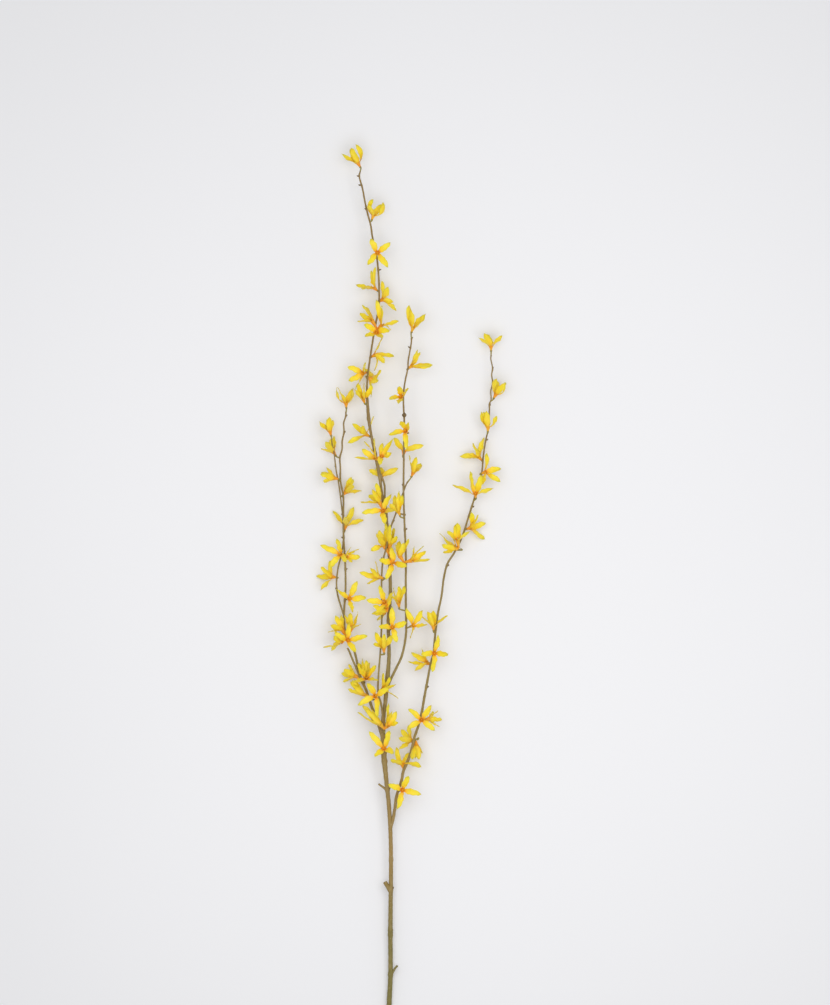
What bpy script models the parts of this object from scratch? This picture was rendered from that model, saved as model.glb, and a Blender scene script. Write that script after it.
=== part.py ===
"""A cut branch of forsythia in bloom, laid flat on a surface.

One woody piece carries the stems, side branches, twigs, stubs, buds, stalks and cups.
Each corolla, or group of corollas from one bud, is a piece of its own.
The branch grows along +Y, its blooms face up (+Z) and the surface is z = 0.
"""
import bmesh
import bpy
import numpy as np

# Scale of the photo and the pixel that lies at the origin.
MM_PER_PX = 1.15
ORIGIN_PX = (410.8196, 590.109)

# Stems: number of sides, then rows of photo x, photo y, height in mm, radius in mm.
STEMS = {
    'main': (8, (
        (388, 1036, 2.68, 2.9), (389.3, 1000, 5, 2.8), (390.2, 982, 6.4, 2.65), (390.5, 960, 8, 2.6),
        (390.4, 925, 10.5, 2.6), (390.8, 885, 13.4, 2.4), (390.9, 850, 15.8, 2.3),
        (390, 822, 17.6, 2.4), (388.4, 800, 19.2, 2.4), (386, 778, 20.6, 2.6), (383.6, 752, 22, 3.2),
        (383, 735, 22.6, 2.7), (383.4, 718, 23.2, 2.4), (385.4, 702, 23.8, 2.3), (387, 682, 24, 2.7),
        (389, 655, 24, 2.1), (388.4, 622, 24, 2.1), (390.3, 597, 24, 2), (390, 574, 24, 1.9),
        (388.7, 550, 24, 1.6), (387.5, 525, 24, 1.4), (383.7, 505, 24, 1.6), (381, 487, 24, 1.55),
        (378.7, 471, 24, 2), (374.2, 449, 24, 1.9), (371, 434, 24, 1.5), (368.6, 418, 24, 1.9),
        (367.5, 402, 24, 1.6), (366.9, 388, 23.6, 1.1), (368.2, 372, 23.4, 1.1), (371, 352, 23.2, 1.1),
        (374.5, 330, 23, 1.1), (378.6, 308, 23, 1.1), (379.2, 290, 23, 1.1), (378.2, 270, 23, 1.05),
        (376, 252, 23, 1), (372.4, 237, 23, 1), (370.8, 226, 23, 1), (367.2, 212, 23, 1),
        (364.6, 200, 23, 0.95), (362.6, 189, 23, 0.95), (359.4, 177, 23, 0.9),
        (360.2, 171.5, 23, 0.85),
    )),
    'companion': (5, (
        (387.3, 528, 23.6, 1.2), (386.6, 512, 23.2, 1.2), (384.8, 497, 23, 1.15),
        (384.4, 485, 23.2, 1.15), (380.6, 474, 23.6, 1.2),
    )),
    'left': (5, (
        (383.4, 741, 22.4, 2), (380.2, 730, 21.8, 1.9), (376, 718, 21, 1.8), (371, 705, 20, 1.7),
        (366, 690, 19, 1.6), (361, 679, 18, 1.5), (358, 667, 17, 1.4), (354.5, 652, 16.4, 1.35),
        (350, 643, 16, 1.3), (345.8, 636, 15.8, 1.3), (343.9, 622, 15.4, 1.3), (344.2, 608, 15.2, 1.2),
        (345.5, 587, 15, 1.15), (345.1, 563, 15, 1.1), (343.6, 540, 15, 1.1), (343.2, 515, 15, 1.1),
        (343.2, 497, 15, 1.1), (340.4, 481, 15, 1.05), (340.3, 468, 15.3, 1), (339.8, 458, 15.6, 1),
        (342, 449, 16, 0.95), (342.1, 441, 16, 0.95), (343.9, 432, 16, 0.9), (343.6, 423, 16, 0.9),
        (345.7, 416, 16, 0.85), (345.6, 411.5, 16, 0.85),
    )),
    'left_outer': (5, (
        (361.2, 681, 18.2, 1.2), (357, 670, 18.8, 1.2), (353, 661, 19.4, 1.15), (349.4, 652, 20, 1.1),
        (347.4, 648, 20.6, 1),
    )),
    'left_twig': (5, (
        (344.1, 616, 15.3, 1.1), (340.4, 605, 15, 1.05), (337.6, 595, 14.7, 1),
        (336.4, 583, 14.4, 0.95), (338, 568, 14.2, 0.9), (341, 556, 12.4, 0.9),
        (343.2, 541, 11.6, 0.9), (342.8, 520, 12.2, 0.85), (341, 502, 14.6, 0.85),
        (339.6, 490, 16.4, 0.85), (338, 480, 17, 0.8), (336.2, 471, 17.2, 0.8),
        (335.2, 463, 17.4, 0.8), (334, 453, 17.6, 0.75), (332.2, 445, 17.8, 0.7),
        (331.6, 441, 18, 0.7),
    )),
    'centre_right': (5, (
        (388.2, 685, 24.2, 1.8), (391.4, 678, 25, 1.5), (396.8, 667, 26.6, 1.45),
        (401.2, 657.5, 28.2, 1.4), (404.4, 645, 30, 1.35), (406.2, 630, 31.4, 1.3),
        (405.8, 606, 32.4, 1.3), (405.8, 580, 33, 1.25), (406, 562, 33.5, 1.25), (405.3, 540, 34, 1.2),
        (404.2, 516, 34, 1.15), (403.5, 494, 34, 1.1), (403.7, 470, 33.6, 1.1), (404, 445, 33, 1.1),
        (404.3, 422, 32.6, 1.05), (403.5, 406, 32.2, 1), (403.6, 393, 32, 0.95),
        (405.4, 380, 32, 0.95), (407.8, 369, 32, 0.9), (408.2, 361, 32, 0.9), (409.8, 352, 32, 0.85),
        (411.2, 344, 32, 0.85), (411.6, 338.5, 32, 0.85),
    )),
    'thin': (5, (
        (383.2, 730, 22.8, 1.2), (382.9, 718, 26, 1.15), (381.2, 704, 28.4, 1.1),
        (378.2, 692, 29.6, 1.1), (378.6, 674, 30.4, 1.05), (380.5, 650, 31, 1.05),
        (381.6, 625, 31.6, 1.05), (382, 604, 32, 1), (381.6, 583, 32.2, 1), (382.8, 562, 32.4, 1),
        (386.6, 546.5, 32, 1), (390, 530, 31, 0.95), (394.6, 517, 30, 0.9), (399, 505.5, 29.2, 0.9),
        (402, 496, 28.8, 0.9), (405.6, 486, 29.2, 0.85), (407.8, 481.5, 30, 0.85),
    )),
    'right': (6, (
        (390.4, 829, 17.2, 2), (392.8, 820, 18.4, 1.9), (394.8, 809, 19.6, 1.8),
        (396.6, 796, 20.6, 1.75), (401.4, 781, 21.6, 1.7), (403.4, 771, 22, 1.75),
        (408, 760.5, 22.4, 1.6), (412, 748, 22.6, 1.5), (414.6, 737, 22.8, 1.5), (418, 727, 22.8, 1.5),
        (421.4, 714, 22.6, 1.5), (424.2, 698, 22.2, 1.5), (427, 683, 21.6, 1.4), (430, 667, 21, 1.35),
        (433.6, 652, 20.2, 1.3), (435.2, 635, 19.4, 1.3), (438, 613, 18.4, 1.25),
        (441.4, 597, 17.6, 1.2), (443.8, 578, 16.8, 1.2), (447.4, 564, 16.2, 1.15),
        (453.6, 554, 15.8, 1.15), (459, 544, 15.4, 1.1), (464, 532, 15.2, 1.1), (468.2, 518, 15, 1.1),
        (473, 503, 15, 1.05), (477, 489.5, 15, 1.05), (481.4, 476, 15, 1), (483.2, 458, 15, 0.95),
        (485.4, 442.5, 15.2, 0.9), (488.2, 429, 15.4, 0.9), (489.4, 413, 15.6, 0.85),
        (489.6, 404, 15.8, 0.85), (491.2, 399, 15.8, 0.85), (490.8, 391, 16, 0.8),
        (492.7, 383, 16, 0.8), (491.7, 375, 16.2, 0.8), (492.6, 368, 16.4, 0.75),
        (490.9, 359, 16.6, 0.75), (491.3, 354.8, 16.8, 0.75),
    )),
}

# Blooms: node, stem, throat x and y in the photo, height over the stem in mm, heading and tilt in degrees
# (0 is side on, 90 faces the viewer), then four petal tips: x, y, depth (1 near, 0 level, -1 far,
# -2 on the surface) and, for some, the sideways bend in pixels and the twist in radians.
BLOOMS = (
    ('m01', 'main', 358, 163, 0, 118, 5, (351, 148, 1), (341.5, 154, 0), (350, 149, -1),
     (355.5, 144.6, 0, -3)),
    ('m02', 'main', 373.4, 215.5, 0, 70, 5, (373.5, 200, 0, 3.5), (367.5, 206, 1), (381.5, 204, -1),
     (382.8, 202.4, 0, -3.5)),
    ('m03', 'main', 377.5, 253, 8, 268, 78, (371, 239, 1), (367.5, 265.5, 1), (388, 268, 1),
     (390.5, 243, 1)),
    ('m04', 'main', 374, 287.5, 0, 138, 10, (375.3, 267, 1), (371, 270.5, -1), (355.5, 285, 0),
     (361, 288, -1)),
    ('m05', 'main', 382.5, 299.6, 0, 25, 12, (382, 281, 0), (388.3, 286.5, -1), (396.5, 311, 1),
     (393.5, 302, 0)),
    ('m06', 'main', 372, 320.5, 5, 140, 25, (362.5, 305, 1), (357.5, 321.5, 0), (366, 307, -1),
     (360, 313, -1)),
    ('m06', 'main', 382, 325, 3, 55, 20, (399, 321, 0), (382, 306, 1), (376.2, 300, 0),
     (390.5, 330, -1)),
    ('m06', 'main', 376.5, 333, 8, 100, 60, (364, 325, 1), (365, 337.5, 1), (382, 339, 1),
     (390, 331, 1)),
    ('m08', 'main', 375, 355, 0, 25, 15, (382, 338, 0), (394, 356.5, 1), (384.5, 363, 0),
     (374, 371, -1)),
    ('m09', 'main', 362.9, 373.4, 1, 195, 40, (347.5, 367, 0), (348.5, 381, 0), (366, 363, 1),
     (355, 389, 0)),
    ('m10', 'main', 363.4, 399, 2, 108, 20, (354.8, 389.5, 0), (357.5, 384, 1), (364, 383.5, 1),
     (371.4, 385, 0, -1.5)),
    ('m11', 'main', 370.5, 379, -5, 330, -30, (380.5, 370, 1), (371.4, 397, 0, -1), (378, 380, -1),
     (365, 368, -1)),
    ('m12', 'main', 365.8, 434.2, 0, 150, 15, (352.5, 423.5, 0), (347.5, 443, 0), (362, 426, 1),
     (373.5, 416, -1, -2)),
    ('m13', 'main', 375.6, 458, 4, 148, 20, (364.5, 441, 0), (354, 457.5, 0), (374.5, 438, 1),
     (362, 449, -1)),
    ('m13', 'main', 381.6, 456.5, 6, 65, 35, (393.5, 438.5, 0), (392, 453, 0), (379.5, 465, 1),
     (383, 443, -1)),
    ('m14', 'main', 381, 477, -7, 90, -15, (369, 469.6, 0), (398.5, 468.5, 0, 0, -0.9),
     (378, 466, -1), (380.5, 467, -1)),
    ('m15', 'main', 379.5, 502, 4, 130, 15, (376.3, 483, 0), (372, 489, 1), (368.5, 495, -1),
     (360.5, 502.4, 0)),
    ('m15', 'main', 383, 511, 7, 100, 55, (362, 513, 0), (385, 524, 1), (391.8, 494, 0), (394, 511, 1)),
    ('m17', 'main', 384.4, 546, 5, 115, 12, (385.7, 523, 0), (376.3, 533.5, 1), (370.8, 550.8, 0),
     (379, 530, -1)),
    ('m17', 'main', 390, 544.5, 6, 80, 10, (389.6, 524, 1), (397, 536, 0), (394, 528, -1),
     (386, 529, 0)),
    ('m17', 'main', 393, 563, 9, 80, 72, (391.6, 546.5, 1), (407, 566, 1), (386, 579.5, 1),
     (379, 560, 1)),
    ('m19', 'thin', 379.3, 577, 1, 165, 20, (359.5, 572, 0), (370, 567.4, 1), (367.3, 583.5, 0),
     (376, 561, 0)),
    ('m20', 'thin', 384.5, 602, 6, 130, 68, (379.6, 585, 1), (366.5, 599.4, 1), (376, 614, 1),
     (394, 591, 1)),
    ('m20', 'thin', 386, 611, 3.5, 185, 20, (371.5, 613, 0), (373, 605, 1), (392, 597, 0),
     (377, 620, -1)),
    ('m21', 'main', 392.5, 627, 10, 80, 72, (392, 606, 1), (378.6, 626, 1), (406.8, 621.6, 1),
     (397, 642, 1)),
    ('m22', 'thin', 383.8, 648, 2.5, 95, 12, (375.3, 631.6, 0), (373.6, 643.2, 0), (392.8, 634.6, 0),
     (384, 633, 1)),
    ('m23', 'thin', 383, 689, 1, 30, 25, (383, 672.6, 0), (396, 684, 1), (398.3, 698, 0),
     (390, 677, -1)),
    ('m24', 'main', 387, 726, 4, 62, 15, (388.6, 703, 0), (398.2, 722, 0), (392.4, 710.6, 1),
     (396.4, 711, -1)),
    ('m25', 'main', 384, 748, 9, 90, 55, (369, 731, 0), (389.4, 730, 1), (375, 756, 1), (394, 752, 1)),
    ('c01', 'centre_right', 413, 328, 0, 72, 5, (409, 305.4, 0, 1.5), (425.6, 314, 0, -1),
     (410.5, 308, 1), (423, 315, -1)),
    ('c02', 'centre_right', 412, 366, 0, 35, 10, (418, 349.6, 0), (432.7, 365, 0, 0, 1.1),
     (420, 352, -1), (431, 366, 1)),
    ('c03', 'centre_right', 401, 397, 6, 130, 60, (400, 387, 1), (408.4, 389.4, 1), (389.8, 400, 1),
     (399, 404, 1)),
    ('c04', 'centre_right', 405.6, 431, 7, 140, 55, (401, 421.4, 1), (388.8, 435.6, 1),
     (407.6, 449.6, 1), (409, 423, 1)),
    ('c05', 'centre_right', 404, 451.4, -5, 80, -12, (393.8, 437.8, 0, 0, 0.8),
     (423.7, 445.4, 0, 0, -0.95), (397, 441, -1), (418, 446.5, -1)),
    ('c06', 'thin', 413.3, 472.4, 1, 66, 10, (409.2, 455.6, 0), (416.2, 456.8, 1), (422.2, 465.3, 0),
     (421, 463.5, -1)),
    ('c07', 'centre_right', 398.4, 511.4, 0, 112, 10, (399.2, 491, 1), (390, 503.6, 0),
     (395, 495, -1), (403, 495, 0)),
    ('c08', 'centre_right', 400, 556, 5, 100, 10, (403.7, 542.6, 1), (395.8, 544.4, 0),
     (409, 538.8, 0), (399.6, 541, -1)),
    ('c08', 'centre_right', 411.6, 560.4, 5, 36, 10, (414, 546, 0), (423.8, 545.8, 1),
     (430.4, 559.2, 0), (426, 551, -1)),
    ('c10', 'centre_right', 398.6, 603, 1, 98, 12, (393.6, 587.6, 1), (404.6, 585.6, 0),
     (399, 586, -1), (390, 594, 0)),
    ('c11', 'centre_right', 413.4, 625, 2, 25, 48, (422.3, 609.6, 1), (427.3, 624.4, 1),
     (406, 607.8, 0), (410, 638, 0)),
    ('l01', 'left_twig', 329.8, 431, 0, 105, 10, (329.4, 417, 1), (319.2, 421.4, 0), (328, 418, -1),
     (333, 420, 0)),
    ('l02', 'left', 333.0, 451.6, 0, 125, 10, (333.4, 435.6, 0), (325.6, 442, 1), (321, 448.6, 0),
     (331.5, 437.5, -1)),
    ('l03', 'left_twig', 334.2, 478, 2, 165, 12, (326.4, 467.6, 0), (320.6, 474, 1), (323, 481, 0),
     (321, 472.5, -1)),
    ('l04', 'left', 346, 403, 0, 93, 5, (336.8, 387, 0, 3.5), (352.8, 387.8, 0, -2.5),
     (352, 389, -1), (338, 388, 1)),
    ('l05', 'left', 345.6, 492, 0, 48, 10, (351.7, 477.2, 0), (361.8, 490.6, 0), (353, 479, -1),
     (354, 486, 1)),
    ('l06', 'left', 345.2, 526, -5, 80, 0, (332.3, 510.8, 0), (346.5, 517, 1), (353.7, 506.8, -1),
     (363.8, 519.8, 0, 0, -0.8)),
    ('l07', 'left_twig', 340, 554, 5, 130, 62, (320.3, 545, 0), (336.8, 538.6, 1), (330.8, 567.4, 1),
     (346.8, 562, 1)),
    ('l07', 'left', 346, 556.4, 3, 10, 30, (358.8, 549, 0), (352.3, 562, 0), (351.2, 547, 1),
     (360, 557, -1)),
    ('l08', 'left_twig', 332, 577, 0, 172, 15, (330, 560.8, 0), (315.8, 576.4, -2),
     (320.3, 590.4, 0), (321, 567, 1)),
    ('l09', 'left', 349.5, 598.5, 7, 20, 65, (357.2, 580.7, 1), (336.2, 589.2, 1), (352.6, 612.6, 1),
     (366.4, 597.3, 1)),
    ('l10', 'left', 348, 640, 8, 50, 65, (348.8, 621.6, 1), (367.8, 636, 1), (355.7, 652, 1),
     (334.6, 632.6, 1)),
    ('l10', 'left', 351.4, 628, 2, 75, 20, (358.2, 611.6, 0), (361, 624, 1), (350, 613, -1),
     (344.6, 615, 0)),
    ('l10', 'left_outer', 341, 642, 0, 172, 20, (334, 636, 1), (323.2, 647.2, 0), (331, 651, -1),
     (334, 628, 0)),
    ('l10', 'left', 342.6, 630, 4, 125, 10, (335.3, 615.6, 0), (330.6, 625, 1), (341, 614, -1),
     (328, 632, 0)),
    ('l13', 'left', 366.4, 678, 5, 95, 60, (358.3, 662.6, 1), (376.2, 665.2, 1), (378.6, 680, 1),
     (353.4, 682, 1)),
    ('l13', 'left', 366, 677.6, 1, 97, 15, (362.4, 658.3, 1), (369.6, 662.6, 0), (357, 664, 0),
     (366, 660, -1)),
    ('l13', 'left', 354.4, 676, 0, 160, 12, (344, 669, 1), (349, 664.4, 0), (342.8, 682, 0),
     (341, 674, -1)),
    ('l16', 'thin', 363, 694, -5, 137, 10, (350.2, 681.8, 1), (354.6, 679.4, 0), (348, 689, 0),
     (352, 680, -1)),
    ('l16', 'thin', 375.5, 695.5, 5, 70, 72, (367, 682.6, 1), (357.8, 704.7, 1), (377.5, 716.6, 1),
     (389, 687, 1)),
    ('m24', 'main', 380.5, 724, 5, 138, 12, (357.8, 711.8, 0), (369.8, 707.6, 0), (365, 708, 1),
     (362.6, 705, -1)),
    ('r01', 'right', 491, 346, 0, 92, 5, (478.2, 337.6, 0), (484, 333.6, 1), (487, 334, -1),
     (502.4, 335.2, 0)),
    ('r02', 'right', 496, 394, 0, 62, 5, (496.8, 378.6, 0, 2), (505, 381.8, 0, -3), (497, 380, -1),
     (505, 383, 1)),
    ('r03', 'right', 488, 427, 3.6, 88, 5, (481.2, 411.6, 0, 1), (486, 410.8, 1), (483, 412, -1),
     (496, 415.8, 0, -2)),
    ('r04', 'right', 479, 457, 0, 132, 10, (459.2, 456.2, 0), (472.5, 443, 1), (484.3, 436.8, 0),
     (462, 455, -1)),
    ('r05', 'right', 485.5, 472, 2, 20, 20, (486.7, 452.8, 0), (501.4, 469, 1), (500.4, 481.8, 0),
     (478.2, 485.4, -1)),
    ('r06', 'right', 475.5, 494, 5, 95, 35, (452.2, 484.8, 0, 0, 0.95), (470.2, 471.6, 1),
     (493.3, 488.3, 0, 0, -0.95), (481, 475, -1)),
    ('r07', 'right', 470.5, 528, 0, 15, 12, (471.7, 511.6, 0), (478, 514.6, 1),
     (484.8, 539.4, -2, 0, 0.9), (486, 523, -1)),
    ('r08', 'right', 457.5, 540, 4, 98, 25, (457.5, 522.6, 1), (447.3, 531, 0), (470, 531.6, 0),
     (456, 524, -1)),
    ('r08', 'right', 455.4, 549, 1, 149, 12, (439.7, 533, 0), (441.8, 544.8, 1), (452.6, 533, -1),
     (443, 553, 0)),
    ('r10', 'right', 433.4, 626, 3.6, 92, 5, (420.2, 615.2, 0), (427.4, 611.4, 1),
     (433.6, 610.4, -1), (447.8, 615.3, 0)),
    ('r11', 'right', 434.5, 653, 6, 0, 72, (438.2, 634.4, 1), (448.4, 653.6, 1), (421, 654, 1),
     (432, 671.5, 1)),
    ('r12', 'right', 427, 663, -2, 155, 10, (421.4, 648.6, 0), (407.6, 662, 1), (414.4, 671, 0),
     (411, 653, -1)),
    ('r13', 'right', 421.5, 719.5, 8, 90, 70, (408.2, 708.6, 1), (431.4, 704.6, 1),
     (407.4, 727.6, 1), (434.8, 730, 1)),
    ('r13', 'right', 429, 719, -3, 0, -12, (441.9, 719.6, 0), (438, 711, -1), (439.5, 727, -1),
     (433, 712, -1)),
    ('r14', 'right', 411.2, 740.4, -1, 165, 15, (408.6, 725.6, 0), (399.2, 749.2, 0),
     (398.6, 737, 1), (401, 730, -1)),
    ('r14', 'right', 416.2, 745, -2, 275, -5, (419, 759.6, 0), (412.8, 758.6, 1), (422.6, 753, 0),
     (415.6, 759, -1)),
    ('r16', 'right', 402.6, 765, -1, 103, 4, (396.3, 747.4, 0), (390.6, 759.6, 1), (408.8, 753, -1),
     (421.4, 766.5, 0)),
    ('r17', 'right', 402.5, 789.5, 8, 30, 72, (408.4, 775.2, 1), (388.2, 783.6, 1), (397, 808.9, 1),
     (421.4, 793.8, 1)),
)

# Corolla sizes in millimetres: petal length, half-width, tube length, throat radius, tube root
# radius and blade thickness.
PETAL = 19.0
HALF = 3.4
TUBE = 5.0
THROAT = 2.3
ROOT = 1.35
THICK = 1.2

# Least height in millimetres of any petal that does not rest on the surface.
FLOOR = 1.2


def unit(v):
    """Vectors scaled to length one."""
    return v / np.maximum(np.linalg.norm(v, axis=-1, keepdims=True), 1e-09)


def mm(x, y):
    """Photo pixels to millimetres in the branch frame."""
    return np.array([(x - ORIGIN_PX[0]) * MM_PER_PX, (ORIGIN_PX[1] - y) * MM_PER_PX])


def smooth(rows, step):
    """Catmull-Rom curve through the rows, with a sample about every step millimetres."""
    p = np.array(rows, float)
    ext = np.vstack([2 * p[0] - p[1], p, 2 * p[-1] - p[-2]])
    out = []
    for a, b, c, d in zip(ext, ext[1:], ext[2:], ext[3:]):
        n = max(1, int(round(np.linalg.norm((c - b)[:3]) / step)))
        t = (np.arange(n) / n)[:, None]
        curve = 2 * b + (c - a) * t + (2 * a - 5 * b + 4 * c - d) * t ** 2 + (3 * b - a - 3 * c + d) * t ** 3
        out.append(0.5 * curve)
    return np.vstack(out + [p[-1:]])


def stem_line(name, step):
    """Rows of x, y, z, radius in millimetres along a stem."""
    rows = np.array(STEMS[name][1], float)
    rows[:, :2] = (rows[:, :2] - ORIGIN_PX) * (MM_PER_PX, -MM_PER_PX)
    return smooth(rows, step)

LINES = {n: stem_line(n, 2.5) for n in STEMS}


def width(s):
    """Half-width of a petal along its length, as a share of the widest."""
    return np.interp(s, [0, 0.12, 0.3, 0.5, 0.7, 0.88, 1], [0.5, 0.58, 0.74, 0.95, 1.0, 0.8, 0.34])


class Bloom:
    """One flower: its throat, the way it faces and the four petal tips read from the photo."""

    def __init__(self, i, row):
        self.i, self.node, self.stem = (i, row[0], row[1])
        x, y, lift, heading, tilt = row[2:7]
        line = LINES[self.stem]
        flat = mm(x, y)
        near = line[np.argmin(np.hypot(*(line[:, :2] - flat).T))]
        self.throat = np.array([flat[0], flat[1], near[2] + lift])
        h, t = (np.radians(heading), np.radians(tilt))
        self.F = np.array([np.cos(t) * np.cos(h), np.cos(t) * np.sin(h), np.sin(t)])
        self.S = np.array([-np.sin(h), np.cos(h), 0.0])
        self.U = np.cross(self.F, self.S)
        rng = np.random.default_rng(100 + i)
        tips = []
        for tip in row[7:]:
            d = mm(tip[0], tip[1]) - flat
            plan = np.hypot(*d)
            long = max(PETAL * rng.uniform(0.95, 1.03), plan * 1.015)
            rise = np.sqrt(long ** 2 - plan ** 2)
            s = tip[2]
            dz = {1: rise, 0: 0.25 * rise, -1: -0.8 * rise, -2: 0.0}[s]
            bend = tip[3] * MM_PER_PX if len(tip) > 3 else 0.0
            twist = rng.uniform(-0.45, 0.45)
            if s == 0:
                twist = np.sign(twist) * (0.45 + 0.85 * abs(twist))
            if len(tip) > 4:
                twist = tip[4]
            tips.append((np.array([d[0], d[1], dz]), bend, s, twist))
        az = np.array([np.arctan2(t[0] @ self.U, t[0] @ self.S) for t in tips])
        order = np.argsort(az)
        tips = [tips[k] for k in order]
        az = az[order]
        dev = np.exp(4j * az).sum()
        best = None
        for roll in np.radians(np.arange(0, 360, 5)):
            slot = roll + np.pi / 2 * np.arange(4)
            cost = (1 - np.cos(az - slot)).sum()
            if best is None or cost < best[0]:
                best = (cost, roll)
        self.roll = best[1]
        self.tips = tips
        self.size = 1.0
        self.lift = 0.0
        self.rise = np.zeros(4)
        self.base0 = None
        self.order = 0

    def base(self):
        b = self.base0 if self.base0 is not None else self.throat - TUBE * self.F
        return b + np.array([0, 0, self.lift])

    def top(self):
        return self.throat + np.array([0, 0, self.lift])

    def ring(self, k):
        a = self.roll + np.pi / 4 * k
        return np.cos(a) * self.S + np.sin(a) * self.U

    def frame(self, k, s):
        """Centre, across, normal, half-width at s along petal k."""
        s = np.asarray(s, float)
        T = self.throat
        D = self.ring(2 * k)
        tip, bend, sign, twist = self.tips[k]
        P0 = T + THROAT * D
        P3 = T + tip
        chord = P3 - P0
        L = np.linalg.norm(chord)
        go = unit(0.55 * self.F + 0.45 * D + 0.9 * unit(chord))
        P1 = P0 + 0.38 * L * go
        side = np.array([-chord[1], chord[0], 0.0])
        P1 = P1 + unit(side) * bend * 2
        P1[2] = P0[2] + (P1[2] - P0[2])
        q = s[..., None]
        c = (1 - q) ** 2 * P0 + 2 * q * (1 - q) * P1 + q * q * P3
        t = unit(2 * (1 - q) * (P1 - P0) + 2 * q * (P3 - P1))
        nref = 0.75 * self.F - 0.5 * D
        across = unit(np.cross(nref, t))
        n = np.cross(t, across)
        tw = (twist * np.minimum(1, 1.6 * s))[..., None]
        a2 = np.cos(tw) * across + np.sin(tw) * n
        n2 = np.cos(tw) * n - np.sin(tw) * across
        z = self.lift + self.rise[k] * s ** 1.2
        c = c + np.stack([0 * z, 0 * z, z], -1)
        return (c, a2, n2, HALF * width(s))

    def petal(self, k, s, v, lift=0.0):
        s, v = np.broadcast_arrays(np.asarray(s, float), np.asarray(v, float))
        c, a, n, w = self.frame(k, s)
        return c + (w * v)[..., None] * a + (0.2 * w * v ** 2 + lift)[..., None] * n


# Places along a petal where its clearance is measured.
SAMPLES = np.array([0.12, 0.26, 0.4, 0.55, 0.7, 0.85, 1.0])
TURNS = 90
MAX_LIFT = 9.0
MAX_RISE = 11.0


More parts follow.
